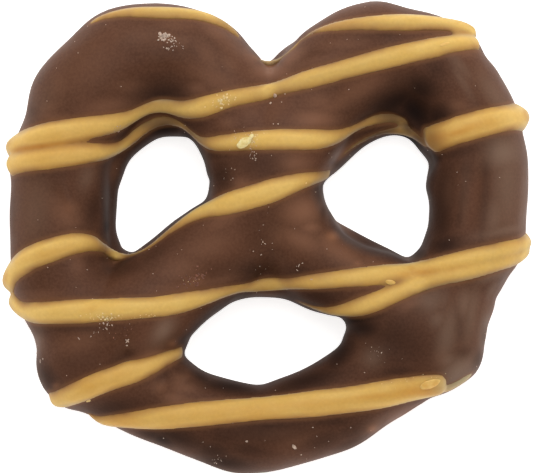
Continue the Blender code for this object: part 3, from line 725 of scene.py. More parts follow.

# %% Where the skin is paler, partly thin and partly painted light, and where painted sheen lies, in the same way
PALE_AND_LIT_PLACES = [
    (3.2, 2.2, 1.9, 1.3, 10, 0.74), (3, -0.3, 2.2, 0.9, -22, 0.56), (1.2, 0, 1, 0.9, 0, 0.3),
    (6.4, -1.3, 2.8, 0.9, -30, 0.58), (9.2, -2.2, 1.8, 0.5, -20, 0.34),
    (6.6, 0.9, 1.6, 0.4, -40, 0.4), (7.6, 12.4, 3.6, 0.9, 30, 0.36), (4.2, 10.1, 1.9, 0.8, 0, 0.7),
    (4.6, 11.6, 1.4, 0.9, 0, 0.34), (0.3, 14.4, 1.6, 0.9, 0, 0.8), (-8, -14, 1.3, 0.6, -10, 0.46),
    (-7.4, -12.6, 1, 0.7, 60, 0.54), (-9.2, -13, 0.7, 0.6, 0, 0.5),
    (-17.2, 1.8, 1.9, 1.1, -50, 0.4), (-13.7, 11.2, 2.4, 0.8, 10, 0.42),
    (-11.8, 12.9, 1.4, 0.7, 0, 0.26), (-4.6, 13.7, 2.4, 1.1, -25, 0.34),
    (-15.5, 14.6, 3.4, 2, 45, 0.2), (16.5, 11.2, 0.9, 0.6, 0, 0.48),
    (-4.9, 15.2, 2, 0.8, -60, 0.3), (-1.4, 15.5, 1.6, 0.6, -45, 0.44),
    (2, 15.4, 1.6, 0.7, 40, 0.5), (-4.2, 17.6, 1.8, 0.7, -35, 0.36),
    (-8.2, 18.2, 2.2, 0.7, 0, 0.22), (-13.3, 5.8, 1.2, 0.5, 78, 0.3),
    (15.6, 3.7, 1.2, 0.5, 85, 0.34), (-7, -13, 1.4, 0.5, 0, 0.5),
    (-18.6, 11.2, 1.4, 0.6, 20, 0.24), (1, -17.1, 2.4, 0.5, 3, 0.22),
    (-7.4, 16.9, 1, 0.6, 0, 0.26), (6.6, 16.7, 2.4, 0.6, 5, 0.26), (-3.2, 15, 1.3, 0.9, -40, 0.28),
    (-17.8, 13, 1, 1.8, -10, 0.2), (5.4, 11.1, 2.2, 0.5, 10, 0.34), (3.8, 0.8, 1, 0.6, 0, 0.62),
    (2.6, -17.6, 1.8, 0.7, 10, 0.2), (-19.4, -5.1, 2, 0.5, 0, 0.28), (2.4, 6.3, 1.4, 0.8, 0, 0.6),
    (-3, 16.6, 2.4, 1, -45, 0.3), (-6, 12.8, 1, 0.6, 0, 0.46), (-18.6, 10.4, 1.4, 0.5, 0, 0.3),
    (17.2, 15.8, 1.4, 0.4, 0, 0.34), (9.4, -16.4, 1.3, 0.6, 25, 0.44),
    (11.4, -15.6, 1.8, 0.7, 25, 0.46), (4.6, 15.2, 3, 0.5, 14, 0.26), (0, -5, 1.4, 0.3, 0, 0.34),
    (-3.4, 9.8, 0.9, 0.6, 0, 0.34), (-1.4, 10.8, 1.2, 0.9, 0, 0.2), (6.6, 7.3, 1.4, 0.5, 45, 0.66),
    (5.6, 6, 0.7, 0.7, 0, 0.35), (-4.6, -3.9, 2.4, 0.4, 12, 0.3), (-5, -0.8, 2.4, 1.2, 20, 0.3),
    (-7.2, -2.8, 1.8, 1.1, 20, 0.32), (-8, -4.5, 2.4, 0.5, 5, 0.32),
    (-16.4, -2.4, 0.7, 0.9, 0, 0.3), (-13.5, -2.3, 0.7, 0.4, 0, 0.3),
    (-3.8, 1.4, 2, 0.7, 30, 0.34), (-16.2, -9.2, 2.2, 0.9, 10, 0.26),
    (-10, -10.2, 1.4, 0.5, 20, 0.44), (0.8, 11, 2, 1.3, 60, 0.2), (-10.6, 17.4, 3, 1.2, 0, 0.22),
    (-2.2, 4.6, 0.9, 0.5, 0, 0.4), (12.2, -5.9, 1.2, 0.5, 20, 0.4), (15.2, -10.4, 0.7, 1, 0, 0.3),
]
PAINTED_SHEEN_PLACES = [
    (20.7, 4.6, 4.6, 1.2, 88, 0.46), (20.4, 7.2, 1.5, 1.5, 0, 0.76),
    (-20, 2.2, 3.4, 1.3, 88, 0.27), (22.2, 3, 3.6, 0.5, 88, 0.34), (19.8, 1.8, 2.2, 0.9, 80, 0.44),
    (15.6, -8.4, 2.6, 0.9, 80, 0.52), (17.1, -5.9, 1.5, 0.8, 82, 0.44),
    (17.6, -7, 2.8, 0.6, 82, 0.46), (14.8, -7.2, 0.8, 0.9, 0, 0.44),
    (15.7, -10.7, 0.9, 0.8, 0, 0.5), (19.6, -4.6, 1, 0.4, 70, 0.3),
    (16.5, -11.6, 1.8, 1, 35, 0.78), (14.2, -5.5, 1.4, 1.2, 20, 0.44),
    (18.9, -8, 1.8, 0.6, 82, 0.45), (19.6, -3.4, 1.8, 0.4, 20, 0.44),
    (-8.9, -8.2, 1.4, 0.8, 60, 0.62), (9.2, -10.4, 0.9, 0.9, 0, 0.44),
    (20.4, 0.5, 2.2, 0.5, 12, 0.5), (-15.5, 5.2, 1.2, 0.7, 70, 0.3),
    (-19.4, 11.4, 2.2, 1, 60, 0.14), (19.7, 12.2, 2.4, 0.8, -55, 0.38),
    (16.9, 13.5, 2, 0.4, -60, 0.28), (16.7, 14.8, 2, 0.5, -50, 0.28),
    (-19.8, -9, 1.2, 0.5, 80, 0.34), (17.2, 4, 3, 0.4, 86, 0.14), (12.8, -1.8, 0.8, 0.5, 0, 0.5),
]
print(len(PALE_AND_LIT_PLACES), "thin places,", len(PAINTED_SHEEN_PLACES), "hazy ones")

# %% Painted light on walls that look outwards, painted shade on walls that look at another wall
WALL_FAN = (-40, -20, 0, 20, 40)   # degrees, the ways in which a wall looks
WALL_SIGHT = 16.0              # mm, another wall that is nearer counts
WALL_LEVEL = 0.25              # a skin whose normal lies flatter than this is a wall
WALL_STEEP = 0.85              # and fully so from here on
WALL_OFF = 0.2                 # mm, a look starts this far off the wall itself
CROWN_LEVEL = 6.4              # mm, above this height no wall is inside a hole
CROWN_FADE = 1.2               # mm, over which that sets in


def walls(made):
    """For each vertex, how much it is an outer wall, and how much one inside a hole."""
    tree = BVHTree.FromObject(made, bpy.context.evaluated_depsgraph_get())
    places = read_vectors(made.data.vertices, "co")
    normals = read_vectors(made.data.vertex_normals, "vector")
    level = np.linalg.norm(normals[:, :2], axis=1)
    steep = np.clip((level - WALL_LEVEL) / (WALL_STEEP - WALL_LEVEL), 0, 1)
    met = np.zeros(len(places))
    for i in np.flatnonzero(steep):
        start = Vector(places[i] + normals[i] * WALL_OFF * MM)
        for turn in WALL_FAN:
            ahead = Vector((*rotated(*normals[i, :2] / level[i], turn), 0))
            met[i] += tree.ray_cast(start, ahead, WALL_SIGHT * MM)[0] is not None
    met /= len(WALL_FAN)
    low = np.clip((CROWN_LEVEL - places[:, 2] / MM) / CROWN_FADE, 0, 1)
    return steep * (1 - met), steep * met * low


outer, inner = walls(coat)
print("the mean share of outer wall is", round(outer.mean(), 3), "and of wall in a hole",
      round(inner.mean(), 3))

# %% The finished skin: the shares of its tints, with painted light, sheen and shade, are kept on it
OUTER_LIGHT = 0.06              # share of the pale tint on an outer wall, painted light
INNER_SHADE = 0.46            # and of the dark one on a wall inside a hole, painted shade
PALE_CLEARS = 2.0              # a pale place takes this many times its share off the latter

thin, painted_sheen = spotted(coat, PALE_AND_LIT_PLACES), spotted(coat, PAINTED_SHEEN_PLACES)
inner *= np.clip(1 - PALE_CLEARS * np.maximum(thin, painted_sheen), 0, 1)
keep(coat, "thin", np.maximum(thin, OUTER_LIGHT * outer))
keep(coat, "painted_sheen", painted_sheen)
keep(coat, "painted_shade", np.maximum(spotted(coat, PAINTED_SHADE_SPOTS), INNER_SHADE * inner))
keep(coat, "tanned", spotted(coat, CRUMBS_BELOW))
coat_places = read_vectors(coat.data.vertices, "co") / MM
print("the coat, in mm, from", coat_places.min(axis=0).round(1), "to",
      coat_places.max(axis=0).round(1))

# %% [markdown]
# ## The stream of peanut coating
# The nozzle swings to and fro, so the stream lies as slanting passes. It drops straight
# down until it meets the skin, bends over the edge of a strand, and hangs a little down
# the side. A ray cast down from each point of a pass finds where it lies. Where a pass
# runs just beside a wall, it clings to the nearest point of it. Besides the ten passes
# there are thin lines where it ran along an edge: the ledge and the end of pass 5 at the
# right hole, the rim of the notch, and a smear on the lower right corner.

# %% The passes of the stream in plan, in mm: (x, y, width)
DRIZZLE = {
    "pass_1": [(-15.4, 18.4, 0.6), (-14.4, 18.95, 0.9), (-12.2, 19.4, 1.2), (-9.7, 19.42, 1.45),
               (-6.7, 19.3, 1.5), (-4.7, 18.8, 1.4), (-3.2, 18.05, 1.2), (-2.3, 17.2, 0.8)],
    "pass_2": [(2.9, 16.9, 0.4), (3.9, 17.65, 0.6), (5.4, 18.1, 0.95), (8, 18.4, 1.2),
               (12, 18.55, 1.7), (14.8, 18.5, 1.7), (16.7, 18.15, 1.85), (18.3, 17.45, 1.9)],
    "pass_3": [(18.3, 16.8, 1.7), (17.2, 16.85, 1.6), (15, 16.45, 1.6), (10, 15.3, 1.65),
               (5, 13.95, 1.55), (0, 12.55, 1.35), (-3.5, 11.8, 1.5), (-5.4, 11.2, 1.75),
               (-7.2, 10.9, 1.5), (-8.7, 11.25, 1.25), (-10.3, 11.05, 1.25), (-11.5, 10.4, 1.4),
               (-13, 9.8, 1.75), (-16, 9.3, 1.9), (-19, 8.75, 2), (-22.8, 7.85, 2)],
    "pass_4": [(-22.9, 6.25, 2.1), (-18.8, 6.8, 1.85), (-15.8, 7.15, 1.75), (-13.6, 7.4, 1.6),
               (-12.3, 8, 1.25), (-11, 9.1, 0.9), (-9.6, 9.95, 0.85), (-8.5, 10.05, 0.8),
               (-7.3, 9.65, 0.75), (-6.3, 8.75, 0.7), (-5.4, 8.05, 1.1), (-4, 8.05, 1.45),
               (-2, 8.2, 1.55), (1.2, 8.35, 1.75), (4, 8.35, 1.65), (6.2, 8.6, 1.35),
               (7.6, 9.35, 1), (8.9, 10, 0.95), (10.6, 10.35, 1), (11.8, 10.1, 0.9),
               (12.3, 9.8, 0.6)],
    "ledge_line": [(6.4, 6.9, 0.35), (7.2, 7.6, 0.45), (8.5, 8.4, 0.5), (9.8, 8.95, 0.55),
                   (11.3, 9.2, 0.8), (12.6, 8.95, 1), (13.4, 8.35, 0.9), (13.9, 7.7, 0.7)],
    "pass_5": [(13.9, 8.2, 2.2), (14.7, 8.5, 2.3), (15.6, 8.85, 2.2), (18.5, 9.75, 2.25),
               (21.4, 10.35, 2.3), (23.4, 10.6, 2.1)],
    "pass_5_cut": [(13.75, 9.55, 0.8), (13.85, 9.1, 1.1), (14.05, 8.3, 1.3), (14.4, 7.5, 1)],
    "pass_6": [(5.4, 5.4, 1.1), (2.6, 4.65, 1.6), (0, 3.8, 1.9), (-2.9, 2.95, 1.9),
               (-5.1, 2.4, 1.6), (-6.7, 1.6, 1.3), (-8.7, 0.25, 0.8), (-10.2, -0.95, 0.6),
               (-11.6, -1.6, 0.6), (-12.7, -1.72, 0.6), (-13.6, -1.4, 0.75), (-14.4, -0.85, 1.1),
               (-15.3, -0.45, 1.5), (-17.4, -0.8, 1.9), (-20.3, -1.8, 2.1), (-22, -3, 2.1),
               (-23.4, -4.2, 2.2)],
    "pass_7": [(-22.9, -6, 1.8), (-20.3, -6.6, 1.85), (-16, -6.45, 1.9), (-11.6, -6.2, 1.75),
               (-8.7, -6, 1.75), (-5.8, -5.4, 1.45), (-2.9, -4.62, 1.15), (-0.5, -4.27, 1.1),
               (2, -4.1, 1.25), (4.9, -3.85, 1.4), (7, -3.6, 1.45), (9.4, -3.35, 1.65),
               (11.3, -3.1, 1.7), (14.2, -2.75, 1.65), (17.1, -2.1, 1.6), (21.4, -1, 1.6),
               (23.6, -0.5, 1.6)],
    "pass_8": [(23.6, -1.45, 1.6), (21.4, -1.9, 1.55), (17.1, -3, 1.45), (15.2, -3.45, 1.4),
               (13.2, -4.05, 1.45), (11.3, -4.85, 1.5), (9.4, -5.65, 1.6), (7, -6.4, 1.5),
               (5.3, -6.45, 1.15), (3.8, -6.05, 0.7), (2.6, -5.6, 0.5)],
    "pass_9": [(-6.9, -9.9, 1.3), (-7.6, -10.15, 1.35), (-8.7, -10.55, 1.45),
               (-11.1, -11.55, 1.75), (-13.5, -12.3, 1.9), (-15.9, -13.35, 1.95),
               (-18.6, -14.45, 1.85)],
    "pass_10": [(-15.7, -15.75, 0.7), (-14.9, -15.95, 1.1), (-13.3, -16, 1.55),
                (-10.1, -15.82, 1.8), (-5.8, -15.35, 1.95), (0, -14.8, 1.9), (2.6, -14.6, 2.05),
                (8.4, -13.95, 2.2), (12.7, -13.2, 2.3), (15.5, -12.85, 2.5)],
    "notch_rim": [(-1.1, 15.5, 0.45), (-0.5, 15.3, 0.55), (0.2, 15.1, 0.55), (1.4, 15.5, 0.55),
                  (2.4, 16.4, 0.5), (3.2, 17.3, 0.45)],
    "corner_smear": [(14.9, -13.4, 1.2), (15.8, -13.1, 1.2), (16.8, -12.6, 1.1),
                     (17.8, -11.9, 0.9)],
}
widths = [width for points in DRIZZLE.values() for *_, width in points]
print("the stream is", min(widths), "to", max(widths), "mm wide")

# %% Lay the stream on the skin
DRIZZLE_STEP = 0.4             # mm between two rings of a ridge
SHORTEST_RUN = 5               # a stretch that lies on at fewer points than this is left out
FALL_FROM = 20.0               # mm, well above the coat
LANDS_ABOVE = 2.0              # mm, the stream lies on nothing lower
CLING = 0.9                    # mm, a stream this close beside the wall sticks to it
SIDE_LEVEL = 4.2               # mm, at this height
DRIP_STEPS = (0.9, 1.8, 2.7, 3.6, 4.4)   # mm, depths over which an end hangs down the side
DRIP_FLOOR = 1.6               # mm, the lowest that it reaches
BULGE = 3.0                    # mm, how far out of its upper edge a side wall may bulge
HOLLOW = 1.0                   # mm, and how far inside that edge it may lie
HEADING = 4                    # the last points of a stretch, which give the way it goes on


def drop_on(tree, x, y):
    """Where something that falls at x, y meets a skin: (point, normal), both None if it misses."""
    return tree.ray_cast(Vector((x, y, FALL_FROM)) * MM, Vector((0, 0, -1)))[:2]


def lie_on(tree, x, y, width):
    """Where the stream that falls at x, y lies: (point, normal, width), or None if it misses."""
    point, normal = drop_on(tree, x, y)
    if point is not None and point.z > LANDS_ABOVE * MM:
        return point, normal, width
    point, normal, _, away = tree.find_nearest(Vector((x, y, SIDE_LEVEL)) * MM)
    return (point, normal, width) if away < CLING * MM else None


def hang(tree, run):
    """Lets the end of a stretch run on over the edge and hang down the side wall."""
    end, width = run[-1][0], run[-1][2]
    ahead = (end - run[-HEADING][0]) * Vector((1, 1, 0))
    ahead.normalize()
    made = []
    for drop in DRIP_STEPS:
        height = end.z - drop * MM
        start = Vector((end.x, end.y, height)) + ahead * BULGE * MM
        point, normal, _, _ = tree.ray_cast(start, -ahead, (BULGE + HOLLOW) * MM)
        if point is not None and height > DRIP_FLOOR * MM:
            made.append((point, normal, width))
    return run + made


def runs_of(tree, points):
    """The stretches of one pass that lie on the coat, each a list of (point, normal, width)."""
    lies = [lie_on(tree, x, y, width) for x, y, width in smooth_path(points, DRIZZLE_STEP)]
    lies = [None, *lies, None]
    edges = [i for i in range(1, len(lies)) if (lies[i] is None) != (lies[i - 1] is None)]
    made = []
    for start, end in zip(edges[::2], edges[1::2]):
        run = lies[start:end]
        if len(run) < SHORTEST_RUN:
            continue
        if end < len(lies) - 1:
            run = hang(tree, run)
        if start > 1:
            run = hang(tree, run[::-1])
        made.append(run)
    return made


coat_tree = BVHTree.FromObject(coat, bpy.context.evaluated_depsgraph_get())
stretches = [run for points in DRIZZLE.values() for run in runs_of(coat_tree, points)]
print(len(stretches), "stretches of drizzle in", len(DRIZZLE), "passes and lines")

# %% [markdown]
# ## From stretches to ridges
# The stream sets as a half round ridge with rounded ends, a little fuller where it hangs.
# The path keeps, at each point, the way out of the skin and the ridge's size there, and a
# second small tree sweeps a section along it: half round above, and a flat root that is
# sunk in the chocolate. Curve normals are set free here, so the section follows the skin
# down a side wall too.

# %% Even paths with their sizes
DRIZZLE_HEIGHT = 0.27          # of the width, above the chocolate
FULL_WIDTH = 1.5               # mm, a narrower stream lies flatter too
DRIZZLE_SUNK = 0.70            # mm below it
DRIZZLE_TAPER = 0.9            # mm, over which a ridge runs out at its end
DRIZZLE_TIP = 0.5              # its size at the very end, as a share
DRIZZLE_SWELL = 0.60           # how much fuller it is where it hangs down a side
STEEP = 0.5                    # a side is a skin whose normal rises less than this
FOOT = 1.13                    # the thin foot makes the ridge this much wider
WOBBLE = 0.07                  # how much the stream's width comes and goes
WOBBLE_LENGTH = 3.2            # mm
EASE_ROUNDS = 4                # of averaging, which rounds the bends over the edges
FEWEST_RINGS = 4               # of the shortest ridge


def smoothed(rows, rounds):
    """Rows averaged with their neighbours, the ends held."""
    rows = rows.copy()
    for _ in range(rounds):
        rows[1:-1] = (rows[:-2] + 2 * rows[1:-1] + rows[2:]) / 4
    return rows


def ridge_path(run):
    """Rows of place, normal, width and rise along one stretch."""
    rows = np.array([[*(point / MM), *normal, width] for point, normal, width in run])
    rows = smoothed(rows, EASE_ROUNDS)
    steps = np.linalg.norm(np.diff(rows[:, :3], axis=0), axis=1)
    along = np.concatenate([[0], np.cumsum(steps)])
    rings = max(FEWEST_RINGS, round(float(along[-1]) / DRIZZLE_STEP))
    spots = np.linspace(0, along[-1], rings + 1)
    rows = np.stack([np.interp(spots, along, column) for column in rows.T], axis=1)
    points, normals, width = rows[:, :3], rows[:, 3:6], rows[:, 6]
    ahead = np.gradient(points, axis=0)
    ahead /= np.linalg.norm(ahead, axis=1, keepdims=True)
    normals -= ahead * (normals * ahead).sum(axis=1, keepdims=True)
    normals /= np.linalg.norm(normals, axis=1, keepdims=True)
    to_end = np.minimum(spots, spots[-1] - spots)
    closing = np.sqrt(1 - (1 - np.clip(to_end / DRIZZLE_TAPER, 0, 1)) ** 2)
    width *= DRIZZLE_TIP + (1 - DRIZZLE_TIP) * closing
    width *= [1 + WOBBLE * noise.noise(Vector(p) / WOBBLE_LENGTH) for p in points]
    rise = DRIZZLE_HEIGHT * width * np.clip(width / FULL_WIDTH, 0, 1)
    rise *= 1 + DRIZZLE_SWELL * (1 - np.clip(normals[:, 2] / STEEP, 0, 1))
    return np.column_stack([points, normals, width * FOOT, rise])


ridge_paths = [ridge_path(run) for run in stretches]
ridge_mesh = polyline("ridge_paths", ridge_paths, {
    "out": ("FLOAT_VECTOR", 3, 6), "width": ("FLOAT", 6, 7), "height": ("FLOAT", 7, 8)})
print(len(ridge_mesh.vertices), "rings of drizzle")

# %% The ridge's sweep: first a flat band, whose points remember their height in the section
RIDGE_SIDES = 24
RIDGE_FLARE = 2.2              # power of the half round, above 1 it runs out in a thin foot

sweep_ridge, given, result = new_tree("sweep_ridge", {
    "Sides": "Int", "Sunk": "Float", "Flare": "Float"})
named = {key: add(sweep_ridge, "GeometryNodeInputNamedAttribute", {"Name": key},
                  data_type=kind).outputs["Attribute"]
         for key, kind in (("out", "FLOAT_VECTOR"), ("width", "FLOAT"), ("height", "FLOAT"),
                           ("section_up", "FLOAT"))}
path = add(sweep_ridge, "GeometryNodeMeshToCurve", {"Mesh": given["Geometry"]})
turned = add(sweep_ridge, "GeometryNodeSetCurveNormal",
             {"Curve": path.outputs[0], "Normal": named["out"]}, mode="FREE")
circle = add(sweep_ridge, "GeometryNodeCurvePrimitiveCircle", {"Resolution": given["Sides"]})
spot = add(sweep_ridge, "ShaderNodeSeparateXYZ",
           {"Vector": add(sweep_ridge, "GeometryNodeInputPosition").outputs[0]}).outputs
marked = add(sweep_ridge, "GeometryNodeStoreNamedAttribute",
             {"Geometry": circle.outputs["Curve"], "Name": "section_up", "Value": spot["X"]},
             data_type="FLOAT", domain="POINT")
flat_place = add(sweep_ridge, "ShaderNodeCombineXYZ", {"Y": spot["Y"]})
flat = add(sweep_ridge, "GeometryNodeSetPosition",
           {"Geometry": marked.outputs[0], "Position": flat_place.outputs[0]})
half = add(sweep_ridge, "ShaderNodeMath", {0: named["width"], 1: 0.5 * MM}, operation="MULTIPLY")
band = add(sweep_ridge, "GeometryNodeCurveToMesh",
           {"Curve": turned.outputs[0], "Profile Curve": flat.outputs[0],
            "Scale": half.outputs[0], "Fill Caps": True})
print("the band has", len(sweep_ridge.nodes), "nodes")

# %% The ridge's form: the crest is raised from the band, and the root is sunk
is_crest = add(sweep_ridge, "FunctionNodeCompare", {0: named["section_up"], 1: 0.0},
               data_type="FLOAT", operation="GREATER_THAN").outputs[0]
twice = add(sweep_ridge, "ShaderNodeMath", {0: named["section_up"], 1: 2.0},
            operation="MULTIPLY")
root = add(sweep_ridge, "ShaderNodeMath", {0: twice.outputs[0], 1: -1.0}, operation="MAXIMUM")
deep = add(sweep_ridge, "ShaderNodeMath", {0: root.outputs[0], 1: given["Sunk"]},
           operation="MULTIPLY").outputs[0]
flared = add(sweep_ridge, "ShaderNodeMath", {0: named["section_up"], 1: given["Flare"]},
             operation="POWER").outputs[0]
high = add(sweep_ridge, "ShaderNodeMath", {0: flared, 1: named["height"]},
           operation="MULTIPLY").outputs[0]
high_metres = add(sweep_ridge, "ShaderNodeMath", {0: high, 1: MM}, operation="MULTIPLY").outputs[0]
up = add(sweep_ridge, "GeometryNodeSwitch",
         {"Switch": is_crest, "False": deep, "True": high_metres}, input_type="FLOAT").outputs[0]
push = add(sweep_ridge, "ShaderNodeVectorMath", {0: named["out"], "Scale": up}, operation="SCALE")
ridge = add(sweep_ridge, "GeometryNodeSetPosition",
            {"Geometry": band.outputs[0], "Offset": push.outputs[0]})
end_tree(sweep_ridge, given, result, ridge.outputs[0])

drizzle = run_tree("peanut_drizzle", sweep_ridge, ridge_mesh, {
    "Sides": RIDGE_SIDES, "Sunk": DRIZZLE_SUNK * MM, "Flare": RIDGE_FLARE,
    "Material": peanut_coating})
print("swept drizzle:", len(drizzle.data.polygons), "faces")

# %% Let the passes flow together where they touch
DRIZZLE_VOXEL = 0.16           # mm
DRIZZLE_ROUNDS = 5

fuse(drizzle, DRIZZLE_VOXEL, DRIZZLE_ROUNDS)
print("drizzle:", 2 * len(drizzle.data.polygons), "triangles")

# %% Where it is a film with painted shade, dull, or full, in mm: (x, y, half length, half width, turn, share)
FILM_AND_SHADE_SPOTS = [                 # a thin film where the brown shows through, and painted shade where it lies low on the ledges
    (11, 10.3, 2.2, 1, -10, 0.76), (9.6, 8.9, 3.6, 0.6, 20, 0.94), (13.2, 8.5, 0.9, 1.3, 30, 0.9),
    (14.2, 8.4, 1.1, 1.8, 18, 0.58), (12.3, 9.4, 1.2, 0.8, -35, 0.98),
    (0.3, 15.5, 2.6, 0.8, 0, 0.6), (3.4, 17.2, 1.1, 0.7, 40, 0.5), (-10, 20, 5, 0.4, 0, 0.36),
    (-3.8, 18.8, 2.6, 0.4, -38, 0.5), (-9, 19.4, 6, 0.8, 0, 0.18), (11, 18.2, 6, 0.7, 0, 0.16),
    (3, 13.4, 7, 0.8, 14, 0.18), (-8.9, 9.8, 2.4, 0.8, 5, 0.86), (-6.6, 9.2, 1.2, 0.6, -45, 0.72),
    (-9, 11.3, 2.6, 0.9, 0, 0.2), (-15.5, -15.9, 0.8, 0.5, -30, 0.45), (3, -5.8, 1, 0.5, -10, 0.5),
    (-6.7, -9.9, 0.8, 0.7, 0, 0.25), (-11.8, -1.6, 1.8, 0.5, -10, 0.34),
    (5.2, 5.4, 0.7, 0.7, 0, 0.25),
]
PALE_FILM_SPOTS = [            # and has turned dull
    (17, -12.4, 2.6, 1.2, 32, 1), (0.2, 15.3, 2.2, 0.5, 0, 0.4), (-9, 11.9, 2, 0.3, 0, 0.4),
    (16.6, -3.9, 3.6, 0.25, 14, 0.4), (-5.9, 8.7, 0.9, 0.5, -50, 0.3),
]
FULL_SPOTS = [                 # it ran together and is more orange
    (14.6, 8.4, 1.5, 1.2, 15, 0.7), (16.4, 8.9, 1.9, 0.4, 15, 0.55),
    (18.9, 9.5, 2.2, 0.5, 15, 0.3), (13.2, -3.1, 2.2, 0.4, 8, 0.5),
    (16.4, -2.7, 1.6, 0.4, 12, 0.3), (-15.2, -13, 2.2, 0.8, 25, 0.3),
    (13.2, -13.2, 2.4, 0.7, 5, 0.45), (-12.6, -16.2, 2.4, 0.7, 5, 0.4),
    (-18.6, -1.4, 2.4, 0.4, 15, 0.25), (-19.6, 7.8, 3.4, 0.3, 7, 0.6),
    (9, -13.8, 2.4, 0.3, 5, 0.3), (-18.4, 7.6, 4.8, 1.6, 5, 0.26), (-2, -15.2, 12, 1.2, 4, 0.24),
    (-13.4, -12.4, 4.6, 1, 25, 0.22), (17.4, 9.4, 4, 1.2, 14, 0.26),
]
print(len(FILM_AND_SHADE_SPOTS) + len(PALE_FILM_SPOTS), "films,", len(FULL_SPOTS), "full spots")

# %% Depth, films with painted shade and sheen, and fringe, kept on the two skins
SIDE_SHEEN = 0.60               # how far a steep side turns the stream's colour to the pale greyish tint, a painted sheen
ASIDE_FROM = 0.60              # where its normal rises less than this
ASIDE_TO = 0.10                # and fully so from here on
FRINGE = 0.34                  # mm, how far the coating's foot colours the skin beside it
FRINGE_SHARE = 0.46

depths = []
for spot in read_vectors(drizzle.data.vertices, "co"):
    point, normal, _, away = coat_tree.find_nearest(Vector(spot))
    depths.append(away / MM if (Vector(spot) - point).dot(normal) > 0 else 0.0)
keep(drizzle, "depth_mm", depths)
film_and_shade = spotted(drizzle, FILM_AND_SHADE_SPOTS)
keep(drizzle, "film_and_shade", film_and_shade)
rising = read_vectors(drizzle.data.vertex_normals, "vector")[:, 2]
aside = np.clip((ASIDE_FROM - rising) / (ASIDE_FROM - ASIDE_TO), 0, 1)
aside *= 1 - film_and_shade
keep(drizzle, "pale_film_and_sheen", np.maximum(spotted(drizzle, PALE_FILM_SPOTS), SIDE_SHEEN * aside))
keep(drizzle, "full", spotted(drizzle, FULL_SPOTS))
drizzle_tree = BVHTree.FromObject(drizzle, bpy.context.evaluated_depsgraph_get())
gaps = [drizzle_tree.find_nearest(Vector(spot))[3]
        for spot in read_vectors(coat.data.vertices, "co")]
keep(coat, "fringe", [FRINGE_SHARE * max(0.0, 1 - gap / (FRINGE * MM)) for gap in gaps])
print("the coating is at most", round(max(depths), 2), "mm deep")

# %% [markdown]
# ## Crystals, flakes and crumbs
# A dipped pretzel picks up grains of salt and sugar, flakes of hardened coating and crumbs
# on its way down the belt. They catch the eye because each has its own place, size and turn.
# The ones that stand out are written down one by one. Each is a ball of few faces that a
# noise has chipped and flattened, so no two are the same, and it is pressed a little way
# into what lies below it.

# %% Materials of the small things
GRAIN_SHEEN = 0.2              # how much duller some of its patches are
GRAIN_RELIEF = 0.02            # mm
GRAIN_REACH = 0.4              # mm, how far red light spreads in it


def grain_material(name, pale, deep, size, roughness, through):
    """A crystal or flake: two colours in a fine noise, and light that passes through a bit."""
    made, tree, shader = new_material(name)
    speck = patches(tree, size, 0.0, 1.0, FINE_DETAIL)
    feed(tree, shader, {
        "Base Color": paint(tree, linear(deep), [(speck, pale)]),
        "Roughness": patches(tree, size, roughness, roughness + GRAIN_SHEEN),
        "Normal": relief(tree, [(size, GRAIN_RELIEF)]), "Subsurface Weight": through,
        "Subsurface Radius": (1.0, 0.8, 0.6), "Subsurface Scale": GRAIN_REACH * MM})
    return made


salt = grain_material("salt_crystal", "#F3E7AE", "#D9C27C", 0.35, 0.22, 0.4)
sugar = grain_material("sugar_dust", "#D8BFAC", "#A3897A", 0.12, 0.35, 0.3)
flake = grain_material("flake_of_peanut_coating", "#EFD08A", "#DDB062", 0.25, 0.3, 0.4)
drop = grain_material("drop_of_peanut_coating", "#E6BE6E", "#DDAF5C", 0.5, 0.3, 0.4)
glint = grain_material("sugar_in_the_coating", "#F2DEA8", "#E0BC74", 0.2, 0.25, 0.4)
crumb = grain_material("browned_crumb", "#86553F", "#54342A", 0.25, 0.5, 0.1)
print("small things:", [material.name for material in (salt, sugar, flake, drop, glint, crumb)])

# %% Chipped grains, each pressed in the skin where it lies
CHIP_SEED = Vector((5.2, 1.3, 8.8))
CHIP_WAVES = 1.7               # of the noise over a ball's radius
CHIP_SHIFT = 900.0             # per metre, so that the noise differs from grain to grain
CHIP_ROUGH = 0.55              # how deeply the noise chips a ball, as a share of its radius
SALT_ROUGH = 0.22              # a salt grain keeps its rounded form
DROP_ROUGH = 0.10              # and a drop of coating is nearly smooth
CHIP_SUNK = 0.35               # share of its height that is pressed in
UPRIGHT = 0.2                  # on a skin that rises more than this a turn is counted from +X


def chipped(centre, normal, long, wide, high, turn, balls, rough):
    """Vertices and faces of one chipped grain that lies at a place on a skin."""
    ball = bmesh.new()
    bmesh.ops.create_icosphere(ball, subdivisions=balls, radius=1.0)
    side = normal.orthogonal().normalized()
    if abs(normal.z) > UPRIGHT:
        side = (Vector((1, 0, 0)) - normal * normal.x).normalized()
    across = normal.cross(side)
    spots = []
    for vertex in ball.verts:
        chip = noise.noise(vertex.co * CHIP_WAVES + centre * CHIP_SHIFT + CHIP_SEED)
        shape = vertex.co * (1 + rough * chip)
        u, v = rotated(shape.x * long / 2, shape.y * wide / 2, turn)
        w = shape.z * high / 2 + high * (0.5 - CHIP_SUNK)
        spots.append(centre + (side * u + across * v + normal * w) * MM)
    faces = [[vertex.index for vertex in face.verts] for face in ball.faces]
    ball.free()
    return spots, faces


